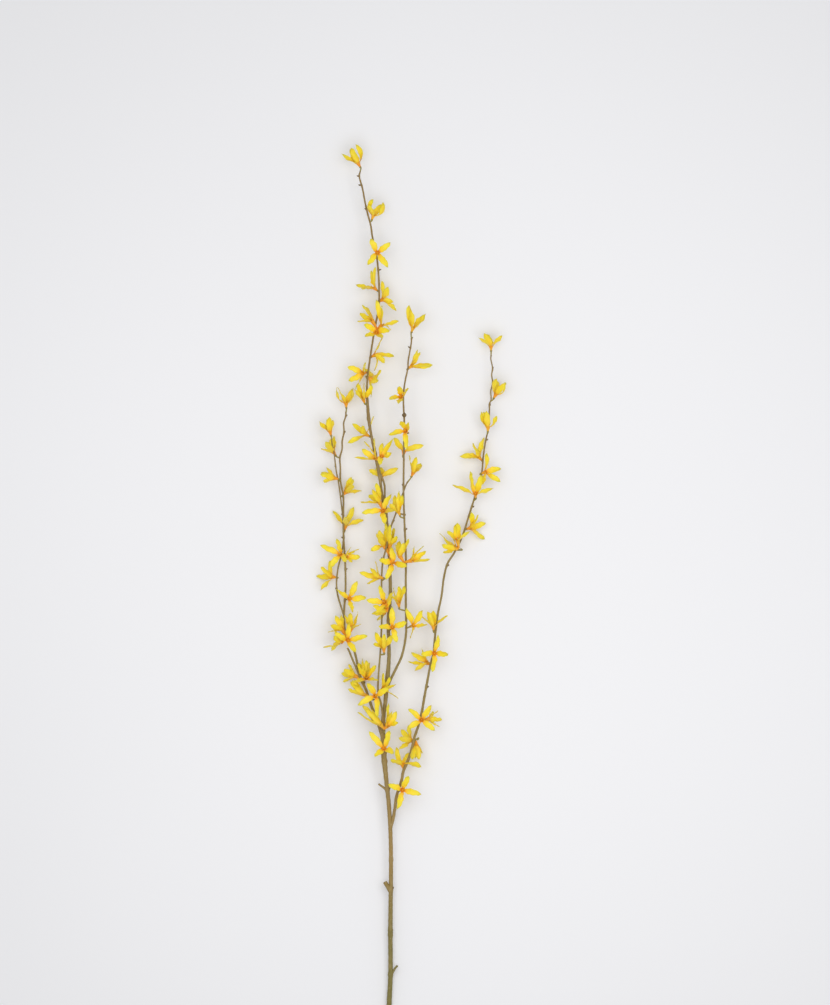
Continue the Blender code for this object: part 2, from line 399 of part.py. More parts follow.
def settle(blooms, turns=TURNS):
    """Raises or lowers each petal until it is clear of the stems and of the petals of other blooms."""
    owner, group, xy, hxy, hz, s_of = ([], [], [], [], [], [])
    for b in blooms:
        for k in range(4):
            c, a, n, w = b.frame(k, SAMPLES)
            owner += [b.i] * len(SAMPLES)
            group += [4 * b.i + k] * len(SAMPLES)
            xy.append(c[:, :2])
            hxy.append(w * np.hypot(a[:, 0], a[:, 1]) + 0.3 * w * np.hypot(n[:, 0], n[:, 1]) + THICK / 2)
            hz.append(w * np.abs(a[:, 2]) + 0.2 * w * np.abs(n[:, 2]) + THICK / 2)
            s_of.append(SAMPLES)
        pts = np.array([b.base() + t * (b.top() - b.base()) for t in (0, 0.35, 0.7, 1)])
        owner += [b.i] * 4
        group += [4000 + b.i] * 4
        xy.append(pts[:, :2])
        hxy.append(np.array([1.5, 1.6, 1.9, 2.2]))
        hz.append(np.array([1.5, 1.6, 1.9, 2.2]))
        s_of.append(np.zeros(4))
    names = list(LINES)
    stem_z = []
    for j, n in enumerate(names):
        L = LINES[n]
        owner += [-1] * len(L)
        group += [8000 + j] * len(L)
        xy.append(L[:, :2])
        hxy.append(L[:, 3])
        hz.append(L[:, 3])
        s_of.append(np.zeros(len(L)))
        stem_z.append(L[:, 2])
    owner, group = (np.array(owner), np.array(group))
    xy, hxy, hz, s_of = (np.vstack(xy), np.concatenate(hxy), np.concatenate(hz), np.concatenate(s_of))
    stem_z = np.concatenate(stem_z)
    node = np.array([-1 if o < 0 else hash_node(blooms[o].node) for o in owner])
    d = np.hypot(xy[:, None, 0] - xy[None, :, 0], xy[:, None, 1] - xy[None, :, 1])
    near = d < hxy[:, None] + hxy[None, :] + 1.2
    near &= node[:, None] != node[None, :]
    near &= ~((owner[:, None] < 0) & (owner[None, :] < 0))
    I, J = np.nonzero(np.triu(near))
    pair = group[I] * 100000 + group[J]
    keys, inv = np.unique(pair, return_inverse=True)
    m = len(SAMPLES)
    per = 4 * m + 4

    def heights():
        z = np.empty(len(owner))
        for b in blooms:
            o = b.i * per
            for k in range(4):
                z[o + k * m:o + (k + 1) * m] = b.frame(k, SAMPLES)[0][:, 2]
            z[o + 4 * m:o + per] = [(b.base() + t * (b.top() - b.base()))[2] for t in (0, 0.35, 0.7, 1)]
        z[len(blooms) * per:] = stem_z
        return z
    z = heights()
    nearness = 1 / (0.5 + d[I, J])
    lean = np.bincount(inv, (z[I] - z[J]) * nearness)
    sign = np.where(lean >= 0, 1.0, -1.0)[inv]
    need = hz[I] + hz[J] + 0.7
    soft = np.clip((hxy[I] + hxy[J] + 1.2 - d[I, J]) / 1.2, 0, 1)
    need = need * np.sqrt(soft)
    floor_ok = np.zeros(len(owner), bool)
    floor_ok[:len(blooms) * per] = True
    for b in blooms:
        for k in range(4):
            if b.tips[k][2] == -2:
                floor_ok[b.i * per + k * m:b.i * per + (k + 1) * m] = False
    for turn in range(turns):
        v = np.maximum(need - sign * (z[I] - z[J]), 0)
        fz = np.maximum(FLOOR + hz - z, 0) * floor_ok
        dz = np.zeros(len(owner))
        cnt = np.full(len(owner), 1e-09)
        movI, movJ = (owner[I] >= 0, owner[J] >= 0)
        share = np.where(movI & movJ, 0.5, 1.0)
        big = v > 0.001
        np.add.at(dz, I[big], (sign * v * share * movI)[big])
        np.add.at(cnt, I[big], 1)
        np.add.at(dz, J[big], (-sign * v * share * movJ)[big])
        np.add.at(cnt, J[big], 1)
        dz = dz / np.maximum(cnt, 1)
        dz = dz + 1.0 * fz
        for b in blooms:
            o = b.i * per
            body = dz[o + 4 * m:o + per]
            roots = dz[o:o + 4 * m].reshape(4, m)
            pull = [x for x in list(body) + list((roots * (1 - SAMPLES)).ravel()) if abs(x) > 1e-06]
            if pull:
                b.lift = float(np.clip(b.lift + 0.35 * np.mean(pull), -MAX_LIFT, MAX_LIFT))
            for k in range(4):
                if b.tips[k][2] == -2:
                    continue
                w = roots[k] * SAMPLES
                act = np.abs(roots[k]) > 1e-06
                if act.any():
                    b.rise[k] = np.clip(b.rise[k] + 0.8 * float(w[act].mean()), -MAX_RISE, MAX_RISE)
        for b in blooms:
            for k in range(4):
                if b.tips[k][2] == -2:
                    b.rise[k] = 0.7 - (b.throat[2] + b.tips[k][0][2] + b.lift)
        z = heights()
    v = np.maximum(need - sign * (z[I] - z[J]), 0)
    return (v, I, J, group)


def hash_node(name):
    """A number that stands for a node name."""
    return sum((ord(ch) * 131 ** i for i, ch in enumerate(name)))


def bloom_list(move=True):
    """All blooms, with one shared root for those that grow from one bud."""
    out = [Bloom(i, row) for i, row in enumerate(BLOOMS)]
    groups = {}
    for b in out:
        groups.setdefault(b.node, []).append(b)
    for g in groups.values():
        if len(g) > 1:
            mid = np.mean([b.throat - 1.2 * TUBE * b.F for b in g], 0)
            for order, b in enumerate(g):
                b.base0 = mid
                b.order = order
    if move:
        settle(out)
    for g in groups.values():
        if len(g) > 1:
            lift = np.mean([b.lift for b in g])
            for b in g:
                b.base0 = b.base0 + np.array([0, 0, lift - b.lift])
    return out


# Places along a petal where the coarse blade has a section.
STATIONS = (0.3, 0.68, 1.0)


def bloom_mesh(b):
    """Closed corolla: tube, throat and four keeled petals."""
    v = []
    f = []
    base, top = (b.base(), b.top())
    ax = unit(top - base)
    if b.base0 is not None:
        base = base - JOIN * (1 + 0.37 * b.order) * ax
    for k in range(4):
        d = b.ring(2 * k + 0.31 * b.order)
        d = unit(d - d @ ax * ax)
        v.append(base + (ROOT + 0.2 * b.order) * d)
    for k in range(8):
        v.append(top + THROAT * b.ring(k) - (0.0 if k % 2 else 0.3) * b.F)
    centre = len(v)
    v.append(top - 1.6 * b.F)
    f += [(0, 1, 2), (0, 2, 3)]
    for k in range(4):
        left, mid, right = (4 + (2 * k - 1) % 8, 4 + 2 * k, 4 + (2 * k + 1) % 8)
        f += [(k, left, mid), (k, mid, right), (k, right, (k + 1) % 4)]
        ring = [left, centre, right, mid]
        for s in STATIONS:
            edge = ((-1.0, 0.0), (0.0, 0.4 * THICK), (1.0, 0.0), (0.0, -0.6 * THICK))
            pts = np.array([b.petal(k, s, v_at, lift) for v_at, lift in edge])
            if b.tips[k][2] == -2 and s == 1.0:
                pts[:, 2] -= pts[:, 2].min()
            elif b.tips[k][2] != -2:
                pts[:, 2] += max(0, 1.0 - pts[:, 2].min())
            new = [len(v) + j for j in range(4)]
            v += list(pts)
            for j in range(4):
                n = (j + 1) % 4
                f += [(ring[j], new[n], new[j]), (ring[j], ring[n], new[n])]
            ring = new
        f += [(ring[0], ring[1], ring[2]), (ring[0], ring[2], ring[3])]
    v = np.array(v)
    f = np.array(f)
    vol = np.einsum('ij,ij->i', v[f[:, 0]], np.cross(v[f[:, 1]], v[f[:, 2]])).sum()
    if vol < 0:
        f = f[:, ::-1]
    return (v, f)


# Short stubs: rows of photo x, photo y, height and radius in mm.
STUBS = (
    ((390.6, 977.5, 6.6, 1.6), (394, 971, 8.0, 1.3), (397.4, 966.6, 9.2, 1.15)),
    ((390.4, 892, 13, 2.4), (387.6, 887, 13.6, 2.4), (384.9, 882.4, 14.2, 2.35)),
    ((386.8, 790, 19.8, 1.7), (382.6, 787, 20.2, 1.3), (378.4, 784, 20.6, 1.1)),
    ((405.6, 515, 34, 1.1), (401.5, 514, 33, 0.9), (399.9, 513.6, 32.6, 0.85)),
)

# Buds and leaf scars: stem, photo x and y, heading, length and radius in mm.
BUDS = (
    ('main', 392.6, 935.5, 60, 3.4, 1.3),
    ('main', 388.6, 976, 120, 3.2, 1.2),
    ('main', 388.9, 931, 130, 2.6, 1.1),
    ('main', 393.2, 890, 50, 3.6, 1.4),
    ('main', 391.6, 861, 70, 3.0, 1.3),
    ('main', 389.2, 790, 40, 3.6, 1.4),
    ('main', 384.8, 762, 60, 3.2, 1.4),
    ('main', 381.4, 753, 130, 3.2, 1.3),
    ('main', 389.2, 641, 60, 2.8, 1.1),
    ('main', 380.6, 270, 20, 2.6, 0.9),
    ('main', 366.2, 209, 150, 2.8, 0.95),
    ('main', 359.2, 186, 165, 2.8, 0.95),
    ('main', 357.6, 176, 150, 2.6, 0.9),
    ('main', 370, 419, 160, 3, 1.1),
    ('right', 428.4, 687.5, 40, 2.8, 1.0),
    ('right', 413.6, 741, 100, 3, 1.1),
    ('right', 448.2, 566, 30, 2.8, 1.0),
    ('right', 473.6, 507, 30, 2.6, 0.95),
    ('right', 487.6, 440, 35, 2.4, 0.9),
    ('right', 490.6, 405, 70, 2.4, 0.85),
    ('right', 493.2, 383, 60, 2.4, 0.8),
    ('right', 492.8, 369, 60, 2.2, 0.8),
    ('left', 346.4, 570, 40, 2.6, 0.95),
    ('left', 342.2, 538, 150, 2.6, 0.95),
    ('left', 341.8, 515, 140, 2.4, 0.9),
    ('left', 344.8, 433, 50, 2.4, 0.85),
    ('left', 346.6, 416, 50, 2.2, 0.8),
    ('left', 346, 601, 50, 2.6, 0.95),
    ('left_twig', 336, 467, 130, 2.4, 0.9),
    ('left_twig', 336.2, 589, 140, 2.4, 0.9),
    ('centre_right', 404.4, 416.5, 90, 5.0, 2.7),
    ('centre_right', 403, 486, 130, 2.6, 0.95),
    ('centre_right', 407.4, 530, 50, 2.4, 0.95),
    ('centre_right', 408.4, 348, 140, 2.6, 0.85),
    ('centre_right', 412.4, 339, 60, 2.2, 0.8),
    ('thin', 381.6, 559, 120, 2.8, 0.95),
    ('thin', 393.8, 522, 60, 2.4, 0.9),
)

# Gap between cup and corolla, how far joined tubes run past their shared root, and cup radius, in mm.
SEAT = 0.35
JOIN = 1.0
CUP = 1.3


def sweep(line, sides, caps=True):
    """Closed tube round rows of x, y, z, radius."""
    line = np.asarray(line, float)
    P, T = (line[:, :3], unit(np.gradient(line[:, :3], axis=0)))
    v, f = ([], [])
    ref = np.array([0.0, 0.0, 1.0]) if abs(T[0][2]) < 0.9 else np.array([1.0, 0.0, 0.0])
    for i, (p, t) in enumerate(zip(P, T)):
        a = unit(np.cross(ref, t))
        u = np.cross(t, a)
        ref = u
        g = 2 * np.pi * (np.arange(sides) + 0.5) / sides
        v += list(p + line[i, 3] * (np.cos(g)[:, None] * a + np.sin(g)[:, None] * u))
    n = sides
    for i in range(len(P) - 1):
        for k in range(n):
            a0, a1 = (i * n + k, i * n + (k + 1) % n)
            f += [(a0, a1, a1 + n), (a0, a1 + n, a0 + n)]
    f += [(0, k + 1, k) for k in range(1, n - 1)]
    o = (len(P) - 1) * n
    f += [(o, o + k, o + k + 1) for k in range(1, n - 1)]
    return (np.array(v), np.array(f))


def nearest(stem, p):
    """Index of the stem sample nearest to a point."""
    line = LINES[stem]
    return int(np.argmin(np.linalg.norm(line[:, :3] - p, axis=1)))


def pedicels(blooms):
    """Rows of x, y, z, radius for the stalk and cup under each bud."""
    out, seen = ([], set())
    for b in blooms:
        if b.node in seen:
            continue
        seen.add(b.node)
        group = [c for c in blooms if c.node == b.node]
        base = b.base()
        axes = [unit(c.top() - c.base()) for c in group]
        ax = unit(np.mean(axes, 0))
        turn = max((np.arccos(np.clip(a @ ax, -1, 1)) for a in axes))
        more = len(group) - 1
        past = JOIN * (1 + 0.37 * more) if more else 0.0
        end = base - (SEAT + past + (1.25 + 0.2 * more) * np.sin(turn)) * ax
        i = nearest(b.stem, end)
        line = LINES[b.stem]
        i = max(0, i - 1)
        start = line[i, :3]
        knee = end - 2.2 * ax
        path = [start, knee + 0.45 * ax, end]
        r = [min(0.95, line[i, 3] * 0.95), 0.85, CUP]
        out.append(np.column_stack([path, r]))
    return out


def sparse(rows, slack):
    """The rows that keep a line within slack millimetres of its course."""
    keep = [0]
    while keep[-1] < len(rows) - 1:
        a = keep[-1]
        b = a + 1
        for c in range(a + 2, len(rows)):
            d = rows[c] - rows[a]
            t = (rows[a + 1:c, :3] - rows[a, :3]) @ d[:3] / (d[:3] @ d[:3])
            if np.abs(rows[a + 1:c] - rows[a] - t[:, None] * d).max() > slack:
                break
            b = c
        keep.append(b)
    return rows[keep]


def wood_parts(blooms, slack=0.3, room=0.0):
    """Every stem, stub, bud and stalk as a closed tube."""
    parts = []
    extra = np.array([0, 0, 0, room])
    for name in STEMS:
        parts.append(sweep(sparse(stem_line(name, 5.0), slack) + extra, STEMS[name][0]))
    for rows in STUBS:
        parts.append(sweep([[*mm(x, y), z, r + room] for x, y, z, r in rows], 6))
    for stem, x, y, heading, length, r in BUDS:
        p = mm(x, y)
        line = LINES[stem]
        near = line[np.argmin(np.hypot(*(line[:, :2] - p).T))]
        d = np.array([np.cos(np.radians(heading)), np.sin(np.radians(heading)), 0.15])
        root = np.array([p[0], p[1], near[2]]) * 0.45 + near[:3] * 0.55
        shape = ((-0.15, 0.6), (0.4, 1), (1.0, 0.15))
        rows = [(*root + d * length * q, r * w) for q, w in shape]
        parts.append(sweep(np.array(rows) + extra, 4))
    for rows in pedicels(blooms):
        if room:
            rows = rows[:2]
        parts.append(sweep(rows + extra, 4))
    return parts


METRES = 0.001
# How far, in millimetres, the coarse stems may stray from their course.
SLACK = 0.3
# Room kept round the wood where a petal or tube passes close to it, in millimetres.
ROOM = 0.3
# Blooms shaved back to that room because they brush the wood.
BRUSHING = ("m05", "m17", "m20", "l02", "l05", "l06", "l13", "r14")
NAMES = {"m": "bloom_main", "c": "bloom_centre", "l": "bloom_left", "r": "bloom_right"}


def clear_scene():
    """Empties the scene."""
    for ob in list(bpy.data.objects):
        bpy.data.objects.remove(ob, do_unlink=True)


def principled(name, colour, roughness):
    """A plain material."""
    mat = bpy.data.materials.new(name)
    mat.use_nodes = True
    shader = mat.node_tree.nodes["Principled BSDF"]
    shader.inputs["Base Color"].default_value = (*colour, 1.0)
    shader.inputs["Roughness"].default_value = roughness
    mat.diffuse_color = (*colour, 1.0)
    return mat


def add_object(name, verts, faces):
    """An object at the origin from millimetre vertices."""
    mesh = bpy.data.meshes.new(name)
    mesh.from_pydata((np.asarray(verts) * METRES).tolist(), [], np.asarray(faces).tolist())
    mesh.validate()
    ob = bpy.data.objects.new(name, mesh)
    bpy.context.scene.collection.objects.link(ob)
    return ob


def triangulate(ob):
    """Splits every face into triangles."""
    bm = bmesh.new()
    bm.from_mesh(ob.data)
    bmesh.ops.triangulate(bm, faces=bm.faces)
    bm.to_mesh(ob.data)
    bm.free()


def combine(target, bodies, operation):
    """Joins the bodies to the target, or cuts them from it, and removes them."""
    group = bpy.data.collections.new("bodies")
    bpy.context.scene.collection.children.link(group)
    for ob in bodies:
        bpy.context.scene.collection.objects.unlink(ob)
        group.objects.link(ob)
    mod = target.modifiers.new("join", "BOOLEAN")
    mod.operation = operation
    mod.solver = "MANIFOLD"
    mod.operand_type = "COLLECTION"
    mod.collection = group
    bpy.context.view_layer.objects.active = target
    bpy.ops.object.modifier_apply(modifier=mod.name)
    for ob in list(group.objects):
        bpy.data.objects.remove(ob, do_unlink=True)
    bpy.data.collections.remove(group)


def union(name, solids):
    """One object from closed bodies that touch."""
    obs = [add_object(f"{name}_{i}", v, f) for i, (v, f) in enumerate(solids)]
    target = obs[0]
    if len(obs) > 1:
        combine(target, obs[1:], "UNION")
    target.name = name
    target.data.name = name
    return target


def finish(ob, mat):
    """Material and smooth shading."""
    ob.data.materials.clear()
    ob.data.materials.append(mat)
    triangulate(ob)
    for poly in ob.data.polygons:
        poly.use_smooth = True


def main():
    """Builds the whole branch."""
    clear_scene()
    blooms = bloom_list()
    wood = union("woody_stem", wood_parts(blooms, SLACK))
    finish(wood, principled("bark", (0.19, 0.115, 0.05), 0.75))
    petals = principled("petal_yellow", (0.86, 0.62, 0.03), 0.55)
    nodes = {}
    for bloom in blooms:
        nodes.setdefault(bloom.node, []).append(bloom)
    for key, group in nodes.items():
        name = f"{NAMES[key[0]]}_{key[1:]}"
        ob = union(name, [bloom_mesh(bloom) for bloom in group])
        if key in BRUSHING:
            room = union("room", wood_parts(blooms, SLACK, ROOM))
            combine(ob, [room], "DIFFERENCE")
        finish(ob, petals.copy())
        ob.data.materials[0].name = f"petal_{key}"
    bpy.data.materials.remove(petals)


main()
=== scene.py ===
"""Looks of a cut forsythia branch that lies on a pale surface, seen from above.

The tables give the stems, stubs, buds and blooms as read from the photo. Their curves are
the same as those of the coarse solids, so each fine piece lies in its solid's place.
"""

import bpy
import mathutils
import numpy as np
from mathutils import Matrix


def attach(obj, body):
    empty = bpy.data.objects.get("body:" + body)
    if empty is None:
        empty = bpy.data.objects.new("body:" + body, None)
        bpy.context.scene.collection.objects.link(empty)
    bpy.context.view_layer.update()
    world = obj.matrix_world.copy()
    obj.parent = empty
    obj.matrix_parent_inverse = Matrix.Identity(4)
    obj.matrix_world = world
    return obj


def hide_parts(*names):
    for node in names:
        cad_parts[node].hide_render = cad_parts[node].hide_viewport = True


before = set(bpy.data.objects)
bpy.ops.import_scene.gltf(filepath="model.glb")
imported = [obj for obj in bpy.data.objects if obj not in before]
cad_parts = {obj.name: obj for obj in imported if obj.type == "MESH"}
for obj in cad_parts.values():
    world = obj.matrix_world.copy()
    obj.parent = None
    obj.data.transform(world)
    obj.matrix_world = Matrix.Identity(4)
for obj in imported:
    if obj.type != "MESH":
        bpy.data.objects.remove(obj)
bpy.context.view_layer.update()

# Scale of the photo and the pixel that lies at the origin.
MM_PER_PX = 1.15
ORIGIN_PX = (410.8196, 590.109)

# Stems: rows of photo x, photo y, height in mm, radius in mm.
STEMS = {
    'main': (
        (388, 1036, 2.68, 2.9), (389.3, 1000, 5, 2.8), (390.2, 982, 6.4, 2.65), (390.5, 960, 8, 2.6),
        (390.4, 925, 10.5, 2.6), (390.8, 885, 13.4, 2.4), (390.9, 850, 15.8, 2.3),
        (390, 822, 17.6, 2.4), (388.4, 800, 19.2, 2.4), (386, 778, 20.6, 2.6), (383.6, 752, 22, 3.2),
        (383, 735, 22.6, 2.7), (383.4, 718, 23.2, 2.4), (385.4, 702, 23.8, 2.3), (387, 682, 24, 2.7),
        (389, 655, 24, 2.1), (388.4, 622, 24, 2.1), (390.3, 597, 24, 2), (390, 574, 24, 1.9),
        (388.7, 550, 24, 1.6), (387.5, 525, 24, 1.4), (383.7, 505, 24, 1.6), (381, 487, 24, 1.55),
        (378.7, 471, 24, 2), (374.2, 449, 24, 1.9), (371, 434, 24, 1.5), (368.6, 418, 24, 1.9),
        (367.5, 402, 24, 1.6), (366.9, 388, 23.6, 1.1), (368.2, 372, 23.4, 1.1), (371, 352, 23.2, 1.1),
        (374.5, 330, 23, 1.1), (378.6, 308, 23, 1.1), (379.2, 290, 23, 1.1), (378.2, 270, 23, 1.05),
        (376, 252, 23, 1), (372.4, 237, 23, 1), (370.8, 226, 23, 1), (367.2, 212, 23, 1),
        (364.6, 200, 23, 0.95), (362.6, 189, 23, 0.95), (359.4, 177, 23, 0.9), (360.2, 171.5, 23, 0.85),
    ),
    'companion': (
        (387.3, 528, 23.6, 1.2), (386.6, 512, 23.2, 1.2), (384.8, 497, 23, 1.15),
        (384.4, 485, 23.2, 1.15), (380.6, 474, 23.6, 1.2),
    ),
    'left': (
        (383.4, 741, 22.4, 2), (380.2, 730, 21.8, 1.9), (376, 718, 21, 1.8), (371, 705, 20, 1.7),
        (366, 690, 19, 1.6), (361, 679, 18, 1.5), (358, 667, 17, 1.4), (354.5, 652, 16.4, 1.35),
        (350, 643, 16, 1.3), (345.8, 636, 15.8, 1.3), (343.9, 622, 15.4, 1.3), (344.2, 608, 15.2, 1.2),
        (345.5, 587, 15, 1.15), (345.1, 563, 15, 1.1), (343.6, 540, 15, 1.1), (343.2, 515, 15, 1.1),
        (343.2, 497, 15, 1.1), (340.4, 481, 15, 1.05), (340.3, 468, 15.3, 1), (339.8, 458, 15.6, 1),
        (342, 449, 16, 0.95), (342.1, 441, 16, 0.95), (343.9, 432, 16, 0.9), (343.6, 423, 16, 0.9),
        (345.7, 416, 16, 0.85), (345.6, 411.5, 16, 0.85),
    ),
    'left_outer': (
        (361.2, 681, 18.2, 1.2), (357, 670, 18.8, 1.2), (353, 661, 19.4, 1.15), (349.4, 652, 20, 1.1),
        (347.4, 648, 20.6, 1),
    ),
    'left_twig': (
        (344.1, 616, 15.3, 1.1), (340.4, 605, 15, 1.05), (337.6, 595, 14.7, 1),
        (336.4, 583, 14.4, 0.95), (338, 568, 14.2, 0.9), (341, 556, 12.4, 0.9), (343.2, 541, 11.6, 0.9),
        (342.8, 520, 12.2, 0.85), (341, 502, 14.6, 0.85), (339.6, 490, 16.4, 0.85), (338, 480, 17, 0.8),
        (336.2, 471, 17.2, 0.8), (335.2, 463, 17.4, 0.8), (334, 453, 17.6, 0.75),
        (332.2, 445, 17.8, 0.7), (331.6, 441, 18, 0.7),
    ),
    'centre_right': (
        (388.2, 685, 24.2, 1.8), (391.4, 678, 25, 1.5), (396.8, 667, 26.6, 1.45),
        (401.2, 657.5, 28.2, 1.4), (404.4, 645, 30, 1.35), (406.2, 630, 31.4, 1.3),
        (405.8, 606, 32.4, 1.3), (405.8, 580, 33, 1.25), (406, 562, 33.5, 1.25), (405.3, 540, 34, 1.2),
        (404.2, 516, 34, 1.15), (403.5, 494, 34, 1.1), (403.7, 470, 33.6, 1.1), (404, 445, 33, 1.1),
        (404.3, 422, 32.6, 1.05), (403.5, 406, 32.2, 1), (403.6, 393, 32, 0.95), (405.4, 380, 32, 0.95),
        (407.8, 369, 32, 0.9), (408.2, 361, 32, 0.9), (409.8, 352, 32, 0.85), (411.2, 344, 32, 0.85),
        (411.6, 338.5, 32, 0.85),
    ),
    'thin': (
        (383.2, 730, 22.8, 1.2), (382.9, 718, 26, 1.15), (381.2, 704, 28.4, 1.1),
        (378.2, 692, 29.6, 1.1), (378.6, 674, 30.4, 1.05), (380.5, 650, 31, 1.05),
        (381.6, 625, 31.6, 1.05), (382, 604, 32, 1), (381.6, 583, 32.2, 1), (382.8, 562, 32.4, 1),
        (386.6, 546.5, 32, 1), (390, 530, 31, 0.95), (394.6, 517, 30, 0.9), (399, 505.5, 29.2, 0.9),
        (402, 496, 28.8, 0.9), (405.6, 486, 29.2, 0.85), (407.8, 481.5, 30, 0.85),
    ),
    'right': (
        (390.4, 829, 17.2, 2), (392.8, 820, 18.4, 1.9), (394.8, 809, 19.6, 1.8),
        (396.6, 796, 20.6, 1.75), (401.4, 781, 21.6, 1.7), (403.4, 771, 22, 1.75),
        (408, 760.5, 22.4, 1.6), (412, 748, 22.6, 1.5), (414.6, 737, 22.8, 1.5), (418, 727, 22.8, 1.5),
        (421.4, 714, 22.6, 1.5), (424.2, 698, 22.2, 1.5), (427, 683, 21.6, 1.4), (430, 667, 21, 1.35),
        (433.6, 652, 20.2, 1.3), (435.2, 635, 19.4, 1.3), (438, 613, 18.4, 1.25),
        (441.4, 597, 17.6, 1.2), (443.8, 578, 16.8, 1.2), (447.4, 564, 16.2, 1.15),
        (453.6, 554, 15.8, 1.15), (459, 544, 15.4, 1.1), (464, 532, 15.2, 1.1), (468.2, 518, 15, 1.1),
        (473, 503, 15, 1.05), (477, 489.5, 15, 1.05), (481.4, 476, 15, 1), (483.2, 458, 15, 0.95),
        (485.4, 442.5, 15.2, 0.9), (488.2, 429, 15.4, 0.9), (489.4, 413, 15.6, 0.85),
        (489.6, 404, 15.8, 0.85), (491.2, 399, 15.8, 0.85), (490.8, 391, 16, 0.8),
        (492.7, 383, 16, 0.8), (491.7, 375, 16.2, 0.8), (492.6, 368, 16.4, 0.75),
        (490.9, 359, 16.6, 0.75), (491.3, 354.8, 16.8, 0.75),
    ),
}

